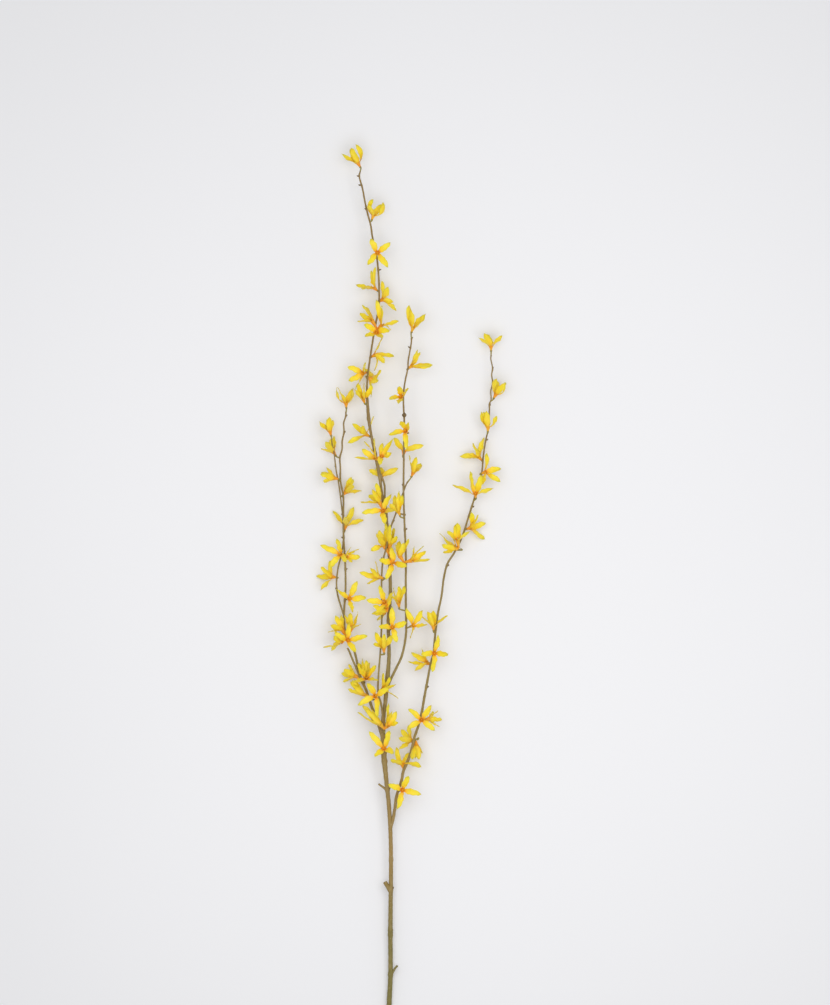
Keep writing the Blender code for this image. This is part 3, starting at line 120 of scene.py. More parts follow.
# Blooms: node, stem, throat x and y in the photo, height over the stem in mm, heading and tilt in
# degrees (0 is side on, 90 faces the viewer), then four petal tips: x, y, depth (1 near, 0 level,
# -1 far, -2 on the surface) and, for some, the sideways bend in pixels and the twist in radians.
BLOOMS = (
    ('m01', 'main', 358, 163, 0, 118, 5, (351, 148, 1), (341.5, 154, 0), (350, 149, -1),
     (355.5, 144.6, 0, -3)),
    ('m02', 'main', 373.4, 215.5, 0, 70, 5, (373.5, 200, 0, 3.5), (367.5, 206, 1), (381.5, 204, -1),
     (382.8, 202.4, 0, -3.5)),
    ('m03', 'main', 377.5, 253, 8, 268, 78, (371, 239, 1), (367.5, 265.5, 1), (388, 268, 1),
     (390.5, 243, 1)),
    ('m04', 'main', 374, 287.5, 0, 138, 10, (375.3, 267, 1), (371, 270.5, -1), (355.5, 285, 0),
     (361, 288, -1)),
    ('m05', 'main', 382.5, 299.6, 0, 25, 12, (382, 281, 0), (388.3, 286.5, -1), (396.5, 311, 1),
     (393.5, 302, 0)),
    ('m06', 'main', 372, 320.5, 5, 140, 25, (362.5, 305, 1), (357.5, 321.5, 0), (366, 307, -1),
     (360, 313, -1)),
    ('m06', 'main', 382, 325, 3, 55, 20, (399, 321, 0), (382, 306, 1), (376.2, 300, 0),
     (390.5, 330, -1)),
    ('m06', 'main', 376.5, 333, 8, 100, 60, (364, 325, 1), (365, 337.5, 1), (382, 339, 1),
     (390, 331, 1)),
    ('m08', 'main', 375, 355, 0, 25, 15, (382, 338, 0), (394, 356.5, 1), (384.5, 363, 0),
     (374, 371, -1)),
    ('m09', 'main', 362.9, 373.4, 1, 195, 40, (347.5, 367, 0), (348.5, 381, 0), (366, 363, 1),
     (355, 389, 0)),
    ('m10', 'main', 363.4, 399, 2, 108, 20, (354.8, 389.5, 0), (357.5, 384, 1), (364, 383.5, 1),
     (371.4, 385, 0, -1.5)),
    ('m11', 'main', 370.5, 379, -5, 330, -30, (380.5, 370, 1), (371.4, 397, 0, -1), (378, 380, -1),
     (365, 368, -1)),
    ('m12', 'main', 365.8, 434.2, 0, 150, 15, (352.5, 423.5, 0), (347.5, 443, 0), (362, 426, 1),
     (373.5, 416, -1, -2)),
    ('m13', 'main', 375.6, 458, 4, 148, 20, (364.5, 441, 0), (354, 457.5, 0), (374.5, 438, 1),
     (362, 449, -1)),
    ('m13', 'main', 381.6, 456.5, 6, 65, 35, (393.5, 438.5, 0), (392, 453, 0), (379.5, 465, 1),
     (383, 443, -1)),
    ('m14', 'main', 381, 477, -7, 90, -15, (369, 469.6, 0), (398.5, 468.5, 0, 0, -0.9), (378, 466, -1),
     (380.5, 467, -1)),
    ('m15', 'main', 379.5, 502, 4, 130, 15, (376.3, 483, 0), (372, 489, 1), (368.5, 495, -1),
     (360.5, 502.4, 0)),
    ('m15', 'main', 383, 511, 7, 100, 55, (362, 513, 0), (385, 524, 1), (391.8, 494, 0), (394, 511, 1)),
    ('m17', 'main', 384.4, 546, 5, 115, 12, (385.7, 523, 0), (376.3, 533.5, 1), (370.8, 550.8, 0),
     (379, 530, -1)),
    ('m17', 'main', 390, 544.5, 6, 80, 10, (389.6, 524, 1), (397, 536, 0), (394, 528, -1),
     (386, 529, 0)),
    ('m17', 'main', 393, 563, 9, 80, 72, (391.6, 546.5, 1), (407, 566, 1), (386, 579.5, 1),
     (379, 560, 1)),
    ('m19', 'thin', 379.3, 577, 1, 165, 20, (359.5, 572, 0), (370, 567.4, 1), (367.3, 583.5, 0),
     (376, 561, 0)),
    ('m20', 'thin', 384.5, 602, 6, 130, 68, (379.6, 585, 1), (366.5, 599.4, 1), (376, 614, 1),
     (394, 591, 1)),
    ('m20', 'thin', 386, 611, 3.5, 185, 20, (371.5, 613, 0), (373, 605, 1), (392, 597, 0),
     (377, 620, -1)),
    ('m21', 'main', 392.5, 627, 10, 80, 72, (392, 606, 1), (378.6, 626, 1), (406.8, 621.6, 1),
     (397, 642, 1)),
    ('m22', 'thin', 383.8, 648, 2.5, 95, 12, (375.3, 631.6, 0), (373.6, 643.2, 0), (392.8, 634.6, 0),
     (384, 633, 1)),
    ('m23', 'thin', 383, 689, 1, 30, 25, (383, 672.6, 0), (396, 684, 1), (398.3, 698, 0),
     (390, 677, -1)),
    ('m24', 'main', 387, 726, 4, 62, 15, (388.6, 703, 0), (398.2, 722, 0), (392.4, 710.6, 1),
     (396.4, 711, -1)),
    ('m25', 'main', 384, 748, 9, 90, 55, (369, 731, 0), (389.4, 730, 1), (375, 756, 1), (394, 752, 1)),
    ('c01', 'centre_right', 413, 328, 0, 72, 5, (409, 305.4, 0, 1.5), (425.6, 314, 0, -1),
     (410.5, 308, 1), (423, 315, -1)),
    ('c02', 'centre_right', 412, 366, 0, 35, 10, (418, 349.6, 0), (432.7, 365, 0, 0, 1.1),
     (420, 352, -1), (431, 366, 1)),
    ('c03', 'centre_right', 401, 397, 6, 130, 60, (400, 387, 1), (408.4, 389.4, 1), (389.8, 400, 1),
     (399, 404, 1)),
    ('c04', 'centre_right', 405.6, 431, 7, 140, 55, (401, 421.4, 1), (388.8, 435.6, 1),
     (407.6, 449.6, 1), (409, 423, 1)),
    ('c05', 'centre_right', 404, 451.4, -5, 80, -12, (393.8, 437.8, 0, 0, 0.8),
     (423.7, 445.4, 0, 0, -0.95), (397, 441, -1), (418, 446.5, -1)),
    ('c06', 'thin', 413.3, 472.4, 1, 66, 10, (409.2, 455.6, 0), (416.2, 456.8, 1), (422.2, 465.3, 0),
     (421, 463.5, -1)),
    ('c07', 'centre_right', 398.4, 511.4, 0, 112, 10, (399.2, 491, 1), (390, 503.6, 0), (395, 495, -1),
     (403, 495, 0)),
    ('c08', 'centre_right', 400, 556, 5, 100, 10, (403.7, 542.6, 1), (395.8, 544.4, 0), (409, 538.8, 0),
     (399.6, 541, -1)),
    ('c08', 'centre_right', 411.6, 560.4, 5, 36, 10, (414, 546, 0), (423.8, 545.8, 1),
     (430.4, 559.2, 0), (426, 551, -1)),
    ('c10', 'centre_right', 398.6, 603, 1, 98, 12, (393.6, 587.6, 1), (404.6, 585.6, 0), (399, 586, -1),
     (390, 594, 0)),
    ('c11', 'centre_right', 413.4, 625, 2, 25, 48, (422.3, 609.6, 1), (427.3, 624.4, 1),
     (406, 607.8, 0), (410, 638, 0)),
    ('l01', 'left_twig', 329.8, 431, 0, 105, 10, (329.4, 417, 1), (319.2, 421.4, 0), (328, 418, -1),
     (333, 420, 0)),
    ('l02', 'left', 333, 451.6, 0, 125, 10, (333.4, 435.6, 0), (325.6, 442, 1), (321, 448.6, 0),
     (331.5, 437.5, -1)),
    ('l03', 'left_twig', 334.2, 478, 2, 165, 12, (326.4, 467.6, 0), (320.6, 474, 1), (323, 481, 0),
     (321, 472.5, -1)),
    ('l04', 'left', 346, 403, 0, 93, 5, (336.8, 387, 0, 3.5), (352.8, 387.8, 0, -2.5), (352, 389, -1),
     (338, 388, 1)),
    ('l05', 'left', 345.6, 492, 0, 48, 10, (351.7, 477.2, 0), (361.8, 490.6, 0), (353, 479, -1),
     (354, 486, 1)),
    ('l06', 'left', 345.2, 526, -5, 80, 0, (332.3, 510.8, 0), (346.5, 517, 1), (353.7, 506.8, -1),
     (363.8, 519.8, 0, 0, -0.8)),
    ('l07', 'left_twig', 340, 554, 5, 130, 62, (320.3, 545, 0), (336.8, 538.6, 1), (330.8, 567.4, 1),
     (346.8, 562, 1)),
    ('l07', 'left', 346, 556.4, 3, 10, 30, (358.8, 549, 0), (352.3, 562, 0), (351.2, 547, 1),
     (360, 557, -1)),
    ('l08', 'left_twig', 332, 577, 0, 172, 15, (330, 560.8, 0), (315.8, 576.4, -2), (320.3, 590.4, 0),
     (321, 567, 1)),
    ('l09', 'left', 349.5, 598.5, 7, 20, 65, (357.2, 580.7, 1), (336.2, 589.2, 1), (352.6, 612.6, 1),
     (366.4, 597.3, 1)),
    ('l10', 'left', 348, 640, 8, 50, 65, (348.8, 621.6, 1), (367.8, 636, 1), (355.7, 652, 1),
     (334.6, 632.6, 1)),
    ('l10', 'left', 351.4, 628, 2, 75, 20, (358.2, 611.6, 0), (361, 624, 1), (350, 613, -1),
     (344.6, 615, 0)),
    ('l10', 'left_outer', 341, 642, 0, 172, 20, (334, 636, 1), (323.2, 647.2, 0), (331, 651, -1),
     (334, 628, 0)),
    ('l10', 'left', 342.6, 630, 4, 125, 10, (335.3, 615.6, 0), (330.6, 625, 1), (341, 614, -1),
     (328, 632, 0)),
    ('l13', 'left', 366.4, 678, 5, 95, 60, (358.3, 662.6, 1), (376.2, 665.2, 1), (378.6, 680, 1),
     (353.4, 682, 1)),
    ('l13', 'left', 366, 677.6, 1, 97, 15, (362.4, 658.3, 1), (369.6, 662.6, 0), (357, 664, 0),
     (366, 660, -1)),
    ('l13', 'left', 354.4, 676, 0, 160, 12, (344, 669, 1), (349, 664.4, 0), (342.8, 682, 0),
     (341, 674, -1)),
    ('l16', 'thin', 363, 694, -5, 137, 10, (350.2, 681.8, 1), (354.6, 679.4, 0), (348, 689, 0),
     (352, 680, -1)),
    ('l16', 'thin', 375.5, 695.5, 5, 70, 72, (367, 682.6, 1), (357.8, 704.7, 1), (377.5, 716.6, 1),
     (389, 687, 1)),
    ('m24', 'main', 380.5, 724, 5, 138, 12, (357.8, 711.8, 0), (369.8, 707.6, 0), (365, 708, 1),
     (362.6, 705, -1)),
    ('r01', 'right', 491, 346, 0, 92, 5, (478.2, 337.6, 0), (484, 333.6, 1), (487, 334, -1),
     (502.4, 335.2, 0)),
    ('r02', 'right', 496, 394, 0, 62, 5, (496.8, 378.6, 0, 2), (505, 381.8, 0, -3), (497, 380, -1),
     (505, 383, 1)),
    ('r03', 'right', 488, 427, 3.6, 88, 5, (481.2, 411.6, 0, 1), (486, 410.8, 1), (483, 412, -1),
     (496, 415.8, 0, -2)),
    ('r04', 'right', 479, 457, 0, 132, 10, (459.2, 456.2, 0), (472.5, 443, 1), (484.3, 436.8, 0),
     (462, 455, -1)),
    ('r05', 'right', 485.5, 472, 2, 20, 20, (486.7, 452.8, 0), (501.4, 469, 1), (500.4, 481.8, 0),
     (478.2, 485.4, -1)),
    ('r06', 'right', 475.5, 494, 5, 95, 35, (452.2, 484.8, 0, 0, 0.95), (470.2, 471.6, 1),
     (493.3, 488.3, 0, 0, -0.95), (481, 475, -1)),
    ('r07', 'right', 470.5, 528, 0, 15, 12, (471.7, 511.6, 0), (478, 514.6, 1),
     (484.8, 539.4, -2, 0, 0.9), (486, 523, -1)),
    ('r08', 'right', 457.5, 540, 4, 98, 25, (457.5, 522.6, 1), (447.3, 531, 0), (470, 531.6, 0),
     (456, 524, -1)),
    ('r08', 'right', 455.4, 549, 1, 149, 12, (439.7, 533, 0), (441.8, 544.8, 1), (452.6, 533, -1),
     (443, 553, 0)),
    ('r10', 'right', 433.4, 626, 3.6, 92, 5, (420.2, 615.2, 0), (427.4, 611.4, 1), (433.6, 610.4, -1),
     (447.8, 615.3, 0)),
    ('r11', 'right', 434.5, 653, 6, 0, 72, (438.2, 634.4, 1), (448.4, 653.6, 1), (421, 654, 1),
     (432, 671.5, 1)),
    ('r12', 'right', 427, 663, -2, 155, 10, (421.4, 648.6, 0), (407.6, 662, 1), (414.4, 671, 0),
     (411, 653, -1)),
    ('r13', 'right', 421.5, 719.5, 8, 90, 70, (408.2, 708.6, 1), (431.4, 704.6, 1), (407.4, 727.6, 1),
     (434.8, 730, 1)),
    ('r13', 'right', 429, 719, -3, 0, -12, (441.9, 719.6, 0), (438, 711, -1), (439.5, 727, -1),
     (433, 712, -1)),
    ('r14', 'right', 411.2, 740.4, -1, 165, 15, (408.6, 725.6, 0), (399.2, 749.2, 0), (398.6, 737, 1),
     (401, 730, -1)),
    ('r14', 'right', 416.2, 745, -2, 275, -5, (419, 759.6, 0), (412.8, 758.6, 1), (422.6, 753, 0),
     (415.6, 759, -1)),
    ('r16', 'right', 402.6, 765, -1, 103, 4, (396.3, 747.4, 0), (390.6, 759.6, 1), (408.8, 753, -1),
     (421.4, 766.5, 0)),
    ('r17', 'right', 402.5, 789.5, 8, 30, 72, (408.4, 775.2, 1), (388.2, 783.6, 1), (397, 808.9, 1),
     (421.4, 793.8, 1)),
)

# Short stubs: rows of photo x, photo y, height and radius in mm.
STUBS = (
    ((390.6, 977.5, 6.6, 1.6), (394, 971, 8.0, 1.3), (397.4, 966.6, 9.2, 1.15)),
    ((390.4, 892, 13, 2.4), (387.6, 887, 13.6, 2.4), (384.9, 882.4, 14.2, 2.35)),
    ((386.8, 790, 19.8, 1.7), (382.6, 787, 20.2, 1.3), (378.4, 784, 20.6, 1.1)),
    ((405.6, 515, 34, 1.1), (401.5, 514, 33, 0.9), (399.9, 513.6, 32.6, 0.85)),
)

# Buds and leaf scars by stem: photo x and y, heading, length and radius in mm.
BUDS = {
    'main': (
        (392.6, 935.5, 60, 3.4, 1.3), (388.6, 976, 120, 3.2, 1.2), (388.9, 931, 130, 2.6, 1.1),
        (393.2, 890, 50, 3.6, 1.4), (391.6, 861, 70, 3, 1.3), (389.2, 790, 40, 3.6, 1.4),
        (384.8, 762, 60, 3.2, 1.4), (381.4, 753, 130, 3.2, 1.3), (389.2, 641, 60, 2.8, 1.1),
        (380.6, 270, 20, 2.6, 0.9), (366.2, 209, 150, 2.8, 0.95), (359.2, 186, 165, 2.8, 0.95),
        (357.6, 176, 150, 2.6, 0.9), (370, 419, 160, 3, 1.1),
    ),
    'right': (
        (428.4, 687.5, 40, 2.8, 1), (413.6, 741, 100, 3, 1.1), (448.2, 566, 30, 2.8, 1),
        (473.6, 507, 30, 2.6, 0.95), (487.6, 440, 35, 2.4, 0.9), (490.6, 405, 70, 2.4, 0.85),
        (493.2, 383, 60, 2.4, 0.8), (492.8, 369, 60, 2.2, 0.8),
    ),
    'left': (
        (346.4, 570, 40, 2.6, 0.95), (342.2, 538, 150, 2.6, 0.95), (341.8, 515, 140, 2.4, 0.9),
        (344.8, 433, 50, 2.4, 0.85), (346.6, 416, 50, 2.2, 0.8), (346, 601, 50, 2.6, 0.95),
    ),
    'left_twig': (
        (336, 467, 130, 2.4, 0.9), (336.2, 589, 140, 2.4, 0.9),
    ),
    'centre_right': (
        (404.4, 416.5, 90, 5, 2.7), (403, 486, 130, 2.6, 0.95), (407.4, 530, 50, 2.4, 0.95),
        (408.4, 348, 140, 2.6, 0.85), (412.4, 339, 60, 2.2, 0.8),
    ),
    'thin': (
        (381.6, 559, 120, 2.8, 0.95), (393.8, 522, 60, 2.4, 0.9),
    ),
}

# Corolla sizes in mm: petal length, half-width, tube length, throat radius, coarse blade thickness.
PETAL = 19.0
HALF = 3.4
TUBE = 5.0
THROAT = 2.3
THICK = 1.2
# Spread of petal lengths, spare length over the length in the photo, and twist in radians.
LENGTHS = (0.95, 1.03)
SPARE = 1.015
TWIST = 0.45
# Rise of a tip by its depth in BLOOMS, as a share of the length that the photo hides.
DEPTH = {1: 1.0, 0: 0.25, -1: -0.8, -2: 0.0}
ON_SURFACE = -2
# Half-width along a petal, as a share of the widest.
WIDTH_AT = (0, 0.12, 0.3, 0.5, 0.7, 0.88, 1)
WIDTHS = (0.5, 0.58, 0.74, 0.95, 1.0, 0.8, 0.34)
# Lift of a petal's rim over its midrib, as a share of the half-width.
KEEL = 0.2
# Step in mm along the stem lines that blooms and buds are placed by.
LINE_STEP = 2.5


def unit(v):
    """Vectors scaled to length one."""
    return v / np.maximum(np.linalg.norm(v, axis=-1, keepdims=True), 1e-09)


def mm(x, y):
    """Photo pixels to millimetres in the branch frame."""
    return np.array([(x - ORIGIN_PX[0]) * MM_PER_PX, (ORIGIN_PX[1] - y) * MM_PER_PX])


def smooth(rows, step):
    """Catmull-Rom curve through the rows, with a sample about every step millimetres."""
    p = np.array(rows, float)
    ext = np.vstack([2 * p[0] - p[1], p, 2 * p[-1] - p[-2]])
    out = []
    for a, b, c, d in zip(ext, ext[1:], ext[2:], ext[3:]):
        n = max(1, int(round(np.linalg.norm((c - b)[:3]) / step)))
        t = (np.arange(n) / n)[:, None]
        curve = 2 * b + (c - a) * t + (2 * a - 5 * b + 4 * c - d) * t**2 + (3 * b - a - 3 * c + d) * t**3
        out.append(0.5 * curve)
    return np.vstack(out + [p[-1:]])


def stem_line(name, step):
    """Rows of x, y, z, radius in millimetres along a stem."""
    rows = np.array(STEMS[name], float)
    rows[:, :2] = (rows[:, :2] - ORIGIN_PX) * (MM_PER_PX, -MM_PER_PX)
    return smooth(rows, step)


LINES = {name: stem_line(name, LINE_STEP) for name in STEMS}


def beside(line, place):
    """Index of the line's sample nearest to a place, in plan or in space."""
    return int(np.argmin(np.linalg.norm(line[:, : len(place)] - place, axis=1)))


class Bloom:
    """One flower: its throat, the way it faces and the four petal tips read from the photo."""

    def __init__(self, i, row):
        self.i = i
        self.node, self.stem, x, y, lift, heading, tilt = row[:7]
        flat = mm(x, y)
        line = LINES[self.stem]
        self.throat = np.array([*flat, line[beside(line, flat), 2] + lift])
        h, t = np.radians(heading), np.radians(tilt)
        self.F = np.array([np.cos(t) * np.cos(h), np.cos(t) * np.sin(h), np.sin(t)])
        self.S = np.array([-np.sin(h), np.cos(h), 0.0])
        self.U = np.cross(self.F, self.S)
        rng = np.random.default_rng(100 + i)
        tips = [self.read_tip(tip, flat, rng) for tip in row[7:]]
        az = np.array([np.arctan2(tip[0] @ self.U, tip[0] @ self.S) for tip in tips])
        order = np.argsort(az)
        self.tips = [tips[k] for k in order]
        rolls = np.radians(np.arange(0, 360, 5))
        slots = [roll + np.pi / 2 * np.arange(4) for roll in rolls]
        self.roll = rolls[np.argmin([(1 - np.cos(az[order] - slot)).sum() for slot in slots])]
        self.root = None
        self.lift = 0.0
        self.rise = np.zeros(4)

    def read_tip(self, tip, flat, rng):
        """Tip from the throat in mm, sideways bend in mm, depth and twist of one petal."""
        d = mm(*tip[:2]) - flat
        plan = np.hypot(*d)
        long = max(PETAL * rng.uniform(*LENGTHS), plan * SPARE)
        depth = tip[2]
        bend = tip[3] * MM_PER_PX if len(tip) > 3 else 0.0
        twist = rng.uniform(-TWIST, TWIST)
        if depth == 0:
            twist = np.sign(twist) * (TWIST + 0.85 * abs(twist))
        if len(tip) > 4:
            twist = tip[4]
        return np.array([*d, DEPTH[depth] * np.sqrt(long**2 - plan**2)]), bend, depth, twist

    def base(self):
        """Foot of the tube."""
        root = self.throat - TUBE * self.F if self.root is None else self.root
        return root + np.array([0, 0, self.lift])

    def top(self):
        """Middle of the throat."""
        return self.throat + np.array([0, 0, self.lift])

    def ring(self, k):
        """Direction across the tube at eighth turn k."""
        a = self.roll + np.pi / 4 * k
        return np.cos(a) * self.S + np.sin(a) * self.U

    def frame(self, k, s):
        """Centre c(s) = (1-s)^2 P0 + 2 s (1-s) P1 + s^2 P2, across, normal and half-width of petal k."""
        D = self.ring(2 * k)
        tip, bend, _, twist = self.tips[k]
        P0 = self.throat + THROAT * D
        P2 = self.throat + tip
        chord = P2 - P0
        go = unit(0.55 * self.F + 0.45 * D + 0.9 * unit(chord))
        P1 = P0 + 0.38 * np.linalg.norm(chord) * go
        P1 = P1 + unit(np.array([-chord[1], chord[0], 0.0])) * bend * 2
        q = s[..., None]
        c = (1 - q) ** 2 * P0 + 2 * q * (1 - q) * P1 + q * q * P2
        t = unit(2 * (1 - q) * (P1 - P0) + 2 * q * (P2 - P1))
        across = unit(np.cross(0.75 * self.F - 0.5 * D, t))
        n = np.cross(t, across)
        turn = (twist * np.minimum(1, 1.6 * s))[..., None]
        c[..., 2] += self.lift + self.rise[k] * s**1.2
        side = np.cos(turn) * across + np.sin(turn) * n
        normal = np.cos(turn) * n - np.sin(turn) * across
        return c, side, normal, HALF * np.interp(s, WIDTH_AT, WIDTHS)

    def petal(self, k, s, v):
        """Point c + v w across + KEEL w v^2 normal at s along petal k, v from -1 to 1."""
        c, a, n, w = self.frame(k, s)
        return c + (w * v)[..., None] * a + (KEEL * w * v**2)[..., None] * n


# Places along a petal and along a tube where clearance is measured, and the tube's radii there.
SAMPLES = np.array([0.12, 0.26, 0.4, 0.55, 0.7, 0.85, 1.0])
TUBE_AT = (0, 0.35, 0.7, 1)
TUBE_RADII = (1.5, 1.6, 1.9, 2.2)
# Clearance in mm in plan and in height, least height of a petal that rests on nothing, and the
# height of the middle of a tip that rests on the surface.
REACH = 1.2
ROOM = 0.7
FLOOR = 1.2
REST = 0.7
# Rounds of settling, farthest moves in mm of a bloom and of a petal tip, and their gains.
TURNS = 90
MAX_LIFT = 9.0
MAX_RISE = 11.0
LIFT_GAIN = 0.35
RISE_GAIN = 0.8
# Overlap in mm that starts a push, and the least push that counts.
LEAST_OVERLAP = 0.001
LEAST_PUSH = 1e-06


def tube_points(b):
    """Points along the tube of a bloom."""
    return np.array([b.base() + t * (b.top() - b.base()) for t in TUBE_AT])


def settle(blooms):
    """Raises or lowers each petal until it is clear of the stems and of the petals of other blooms.

    Every sample of a petal, tube or stem is a disc. Discs of different nodes that meet in plan
    push each other apart in height, and a bloom and its petals move by the mean of their pushes.
    """
    parts = []
    for b in blooms:
        for k in range(4):
            c, a, n, w = b.frame(k, SAMPLES)
            wide = w * np.hypot(a[:, 0], a[:, 1]) + 0.3 * w * np.hypot(n[:, 0], n[:, 1]) + THICK / 2
            high = w * np.abs(a[:, 2]) + KEEL * w * np.abs(n[:, 2]) + THICK / 2
            parts.append((b.i, c[:, :2], wide, high))
        parts.append((b.i, tube_points(b)[:, :2], TUBE_RADII, TUBE_RADII))
    parts += [(-1, line[:, :2], line[:, 3], line[:, 3]) for line in LINES.values()]
    counts = [len(part[1]) for part in parts]
    owner = np.repeat([part[0] for part in parts], counts)
    group = np.repeat(np.arange(len(parts)), counts)
    xy, hxy, hz = (np.concatenate([part[i] for part in parts]) for i in (1, 2, 3))
    stem_z = np.concatenate([line[:, 2] for line in LINES.values()])
    names = [b.node for b in blooms]
    node = np.array([-1 if o < 0 else names.index(names[o]) for o in owner])
    d = np.hypot(xy[:, None, 0] - xy[None, :, 0], xy[:, None, 1] - xy[None, :, 1])
    near = (d < hxy[:, None] + hxy[None, :] + REACH) & (node[:, None] != node[None, :])
    I, J = np.nonzero(np.triu(near))
    pair = np.unique(group[I] * len(parts) + group[J], return_inverse=True)[1]
    m = len(SAMPLES)
    per = 4 * m + len(TUBE_AT)

    def heights():
        z = []
        for b in blooms:
            z += [b.frame(k, SAMPLES)[0][:, 2] for k in range(4)] + [tube_points(b)[:, 2]]
        return np.concatenate(z + [stem_z])

    z = heights()
    lean = np.bincount(pair, (z[I] - z[J]) * (1 / (0.5 + d[I, J])))
    sign = np.where(lean >= 0, 1.0, -1.0)[pair]
    soft = np.clip((hxy[I] + hxy[J] + REACH - d[I, J]) / REACH, 0, 1)
    need = (hz[I] + hz[J] + ROOM) * np.sqrt(soft)
    resting = [(b, k) for b in blooms for k in range(4) if b.tips[k][2] == ON_SURFACE]
    held_up = owner >= 0
    for b, k in resting:
        held_up[b.i * per + k * m : b.i * per + (k + 1) * m] = False
    moves_i, moves_j = owner[I] >= 0, owner[J] >= 0
    share = np.where(moves_i & moves_j, 0.5, 1.0)
    for _ in range(TURNS):
        v = np.maximum(need - sign * (z[I] - z[J]), 0)
        big = v > LEAST_OVERLAP
        dz = np.zeros(len(owner))
        count = np.full(len(owner), 1e-09)
        np.add.at(dz, I[big], (sign * v * share * moves_i)[big])
        np.add.at(count, I[big], 1)
        np.add.at(dz, J[big], (-sign * v * share * moves_j)[big])
        np.add.at(count, J[big], 1)
        dz = dz / np.maximum(count, 1) + np.maximum(FLOOR + hz - z, 0) * held_up
        for b in blooms:
            own = dz[b.i * per : (b.i + 1) * per]
            roots = own[: 4 * m].reshape(4, m)
            pull = np.concatenate([own[4 * m :], (roots * (1 - SAMPLES)).ravel()])
            pull = pull[np.abs(pull) > LEAST_PUSH]
            if len(pull):
                b.lift = float(np.clip(b.lift + LIFT_GAIN * np.mean(pull), -MAX_LIFT, MAX_LIFT))
            for k in range(4):
                acts = np.abs(roots[k]) > LEAST_PUSH
                if acts.any() and b.tips[k][2] != ON_SURFACE:
                    push = RISE_GAIN * float((roots[k] * SAMPLES)[acts].mean())
                    b.rise[k] = np.clip(b.rise[k] + push, -MAX_RISE, MAX_RISE)
        for b, k in resting:
            b.rise[k] = REST - (b.throat[2] + b.tips[k][0][2] + b.lift)
        z = heights()


def by_node(blooms):
    """Blooms by node, in the order of the table."""
    groups = {}
    for b in blooms:
        groups.setdefault(b.node, []).append(b)
    return groups


def bloom_list():
    """All blooms, settled, with one shared root for those that grow from one bud."""
    out = [Bloom(i, row) for i, row in enumerate(BLOOMS)]
    shared = [group for group in by_node(out).values() if len(group) > 1]
    for group in shared:
        root = np.mean([b.throat - 1.2 * TUBE * b.F for b in group], 0)
        for b in group:
            b.root = root
    settle(out)
    for group in shared:
        lift = np.mean([b.lift for b in group])
        for b in group:
            b.root = b.root + np.array([0, 0, lift - b.lift])
    return out


# Gap between cup and corolla, how far joined tubes run past their shared root, and cup radius, in mm.
SEAT = 0.35
JOIN = 1.0
CUP = 1.3
# Greatest radius of a stalk, its radius at the knee, and the knee's drop and ease under the cup, in mm.
STALK = 0.95
KNEE = 0.85
KNEE_DROP = 2.2
KNEE_EASE = 0.45


def pedicels(blooms):
    """Rows of x, y, z, radius for the stalk and cup under each bud."""
    out = []
    for group in by_node(blooms).values():
        axes = [unit(b.top() - b.base()) for b in group]
        axis = unit(np.mean(axes, 0))
        turn = max(np.arccos(np.clip(a @ axis, -1, 1)) for a in axes)
        more = len(group) - 1
        past = JOIN * (1 + 0.37 * more) if more else 0.0
        end = group[0].base() - (SEAT + past + (1.25 + 0.2 * more) * np.sin(turn)) * axis
        line = LINES[group[0].stem]
        start = line[max(0, beside(line, end) - 1)]
        path = [start[:3], end - KNEE_DROP * axis + KNEE_EASE * axis, end]
        out.append(np.column_stack([path, [min(STALK, start[3] * 0.95), KNEE, CUP]]))
    return out


METRES = 0.001
NAMES = {"m": "main", "c": "centre", "l": "left", "r": "right"}
# Petal grid and blade: rows along, columns across, thickness at the midrib and at the rim in mm,
# and where the rounding of the tip starts.
ROWS_ALONG = 21
COLS_ACROSS = 11
BLADE = 0.42
RIM = 0.12
TIP_ROUND = 0.84
# Funnel grid: sides and rows, root radius and wall in mm.
FUNNEL_SIDES = 20
FUNNEL_ROWS = 7
FUNNEL_ROOT = 1.15
FUNNEL_WALL = 0.3
# Bark grid: step along a stem in mm, sides round a thick and a thin one, and its least height.
BARK_STEP = 1.3
SIDES_THICK = 20
SIDES_THIN = 12
THICK_STEM = 1.9
LOWEST = 0.02
# Steps in mm and sides of stubs and stalks.
STUB_STEP = 0.8
STUB_SIDES = 14
STALK_STEP = 0.7
STALK_SIDES = 10
# Profiles as distance along and radius: stamens for a length of 1, buds for length and radius 1,
# their scales likewise, and cup lobes in mm.
STAMEN = ((0, 0.18), (0.5, 0.16), (0.62, 0.42), (0.85, 0.5), (1, 0.22))
STAMEN_LENGTHS = (2.9, 2.6, 3.3)
BUD = ((-0.15, 0.5), (0.1, 0.85), (0.3, 1.0), (0.5, 0.9), (0.72, 0.6), (0.9, 0.3), (1.0, 0.08))
SCALE = ((0, 0.5), (0.25, 0.72), (0.5, 0.5), (0.68, 0.1))
LOBE = ((0, 0.45), (0.8, 0.55), (1.7, 0.38), (2.4, 0.1))


def oriented(points, faces):
    """The same faces, turned over if they enclose a negative volume."""
    corners = np.array([(f[0], f[i], f[i + 1]) for f in faces for i in range(1, len(f) - 1)])
    a, b, c = (points[corners[:, i]] for i in range(3))
    return faces if np.einsum("ij,ij->", a, np.cross(b, c)) > 0 else [f[::-1] for f in faces]


def grid_faces(rows, cols, wrap):
    """Quads of a rows by cols grid, closed round the columns if wrap is set."""
    out = []
    for i in range(rows - 1):
        for j in range(cols if wrap else cols - 1):
            a, b = i * cols + j, i * cols + (j + 1) % cols
            out.append((a, b, b + cols, a + cols))
    return out


def around(side, up, angle):
    """Unit vector at an angle from side towards up; an array of angles gives rows."""
    return np.multiply.outer(np.cos(angle), side) + np.multiply.outer(np.sin(angle), up)


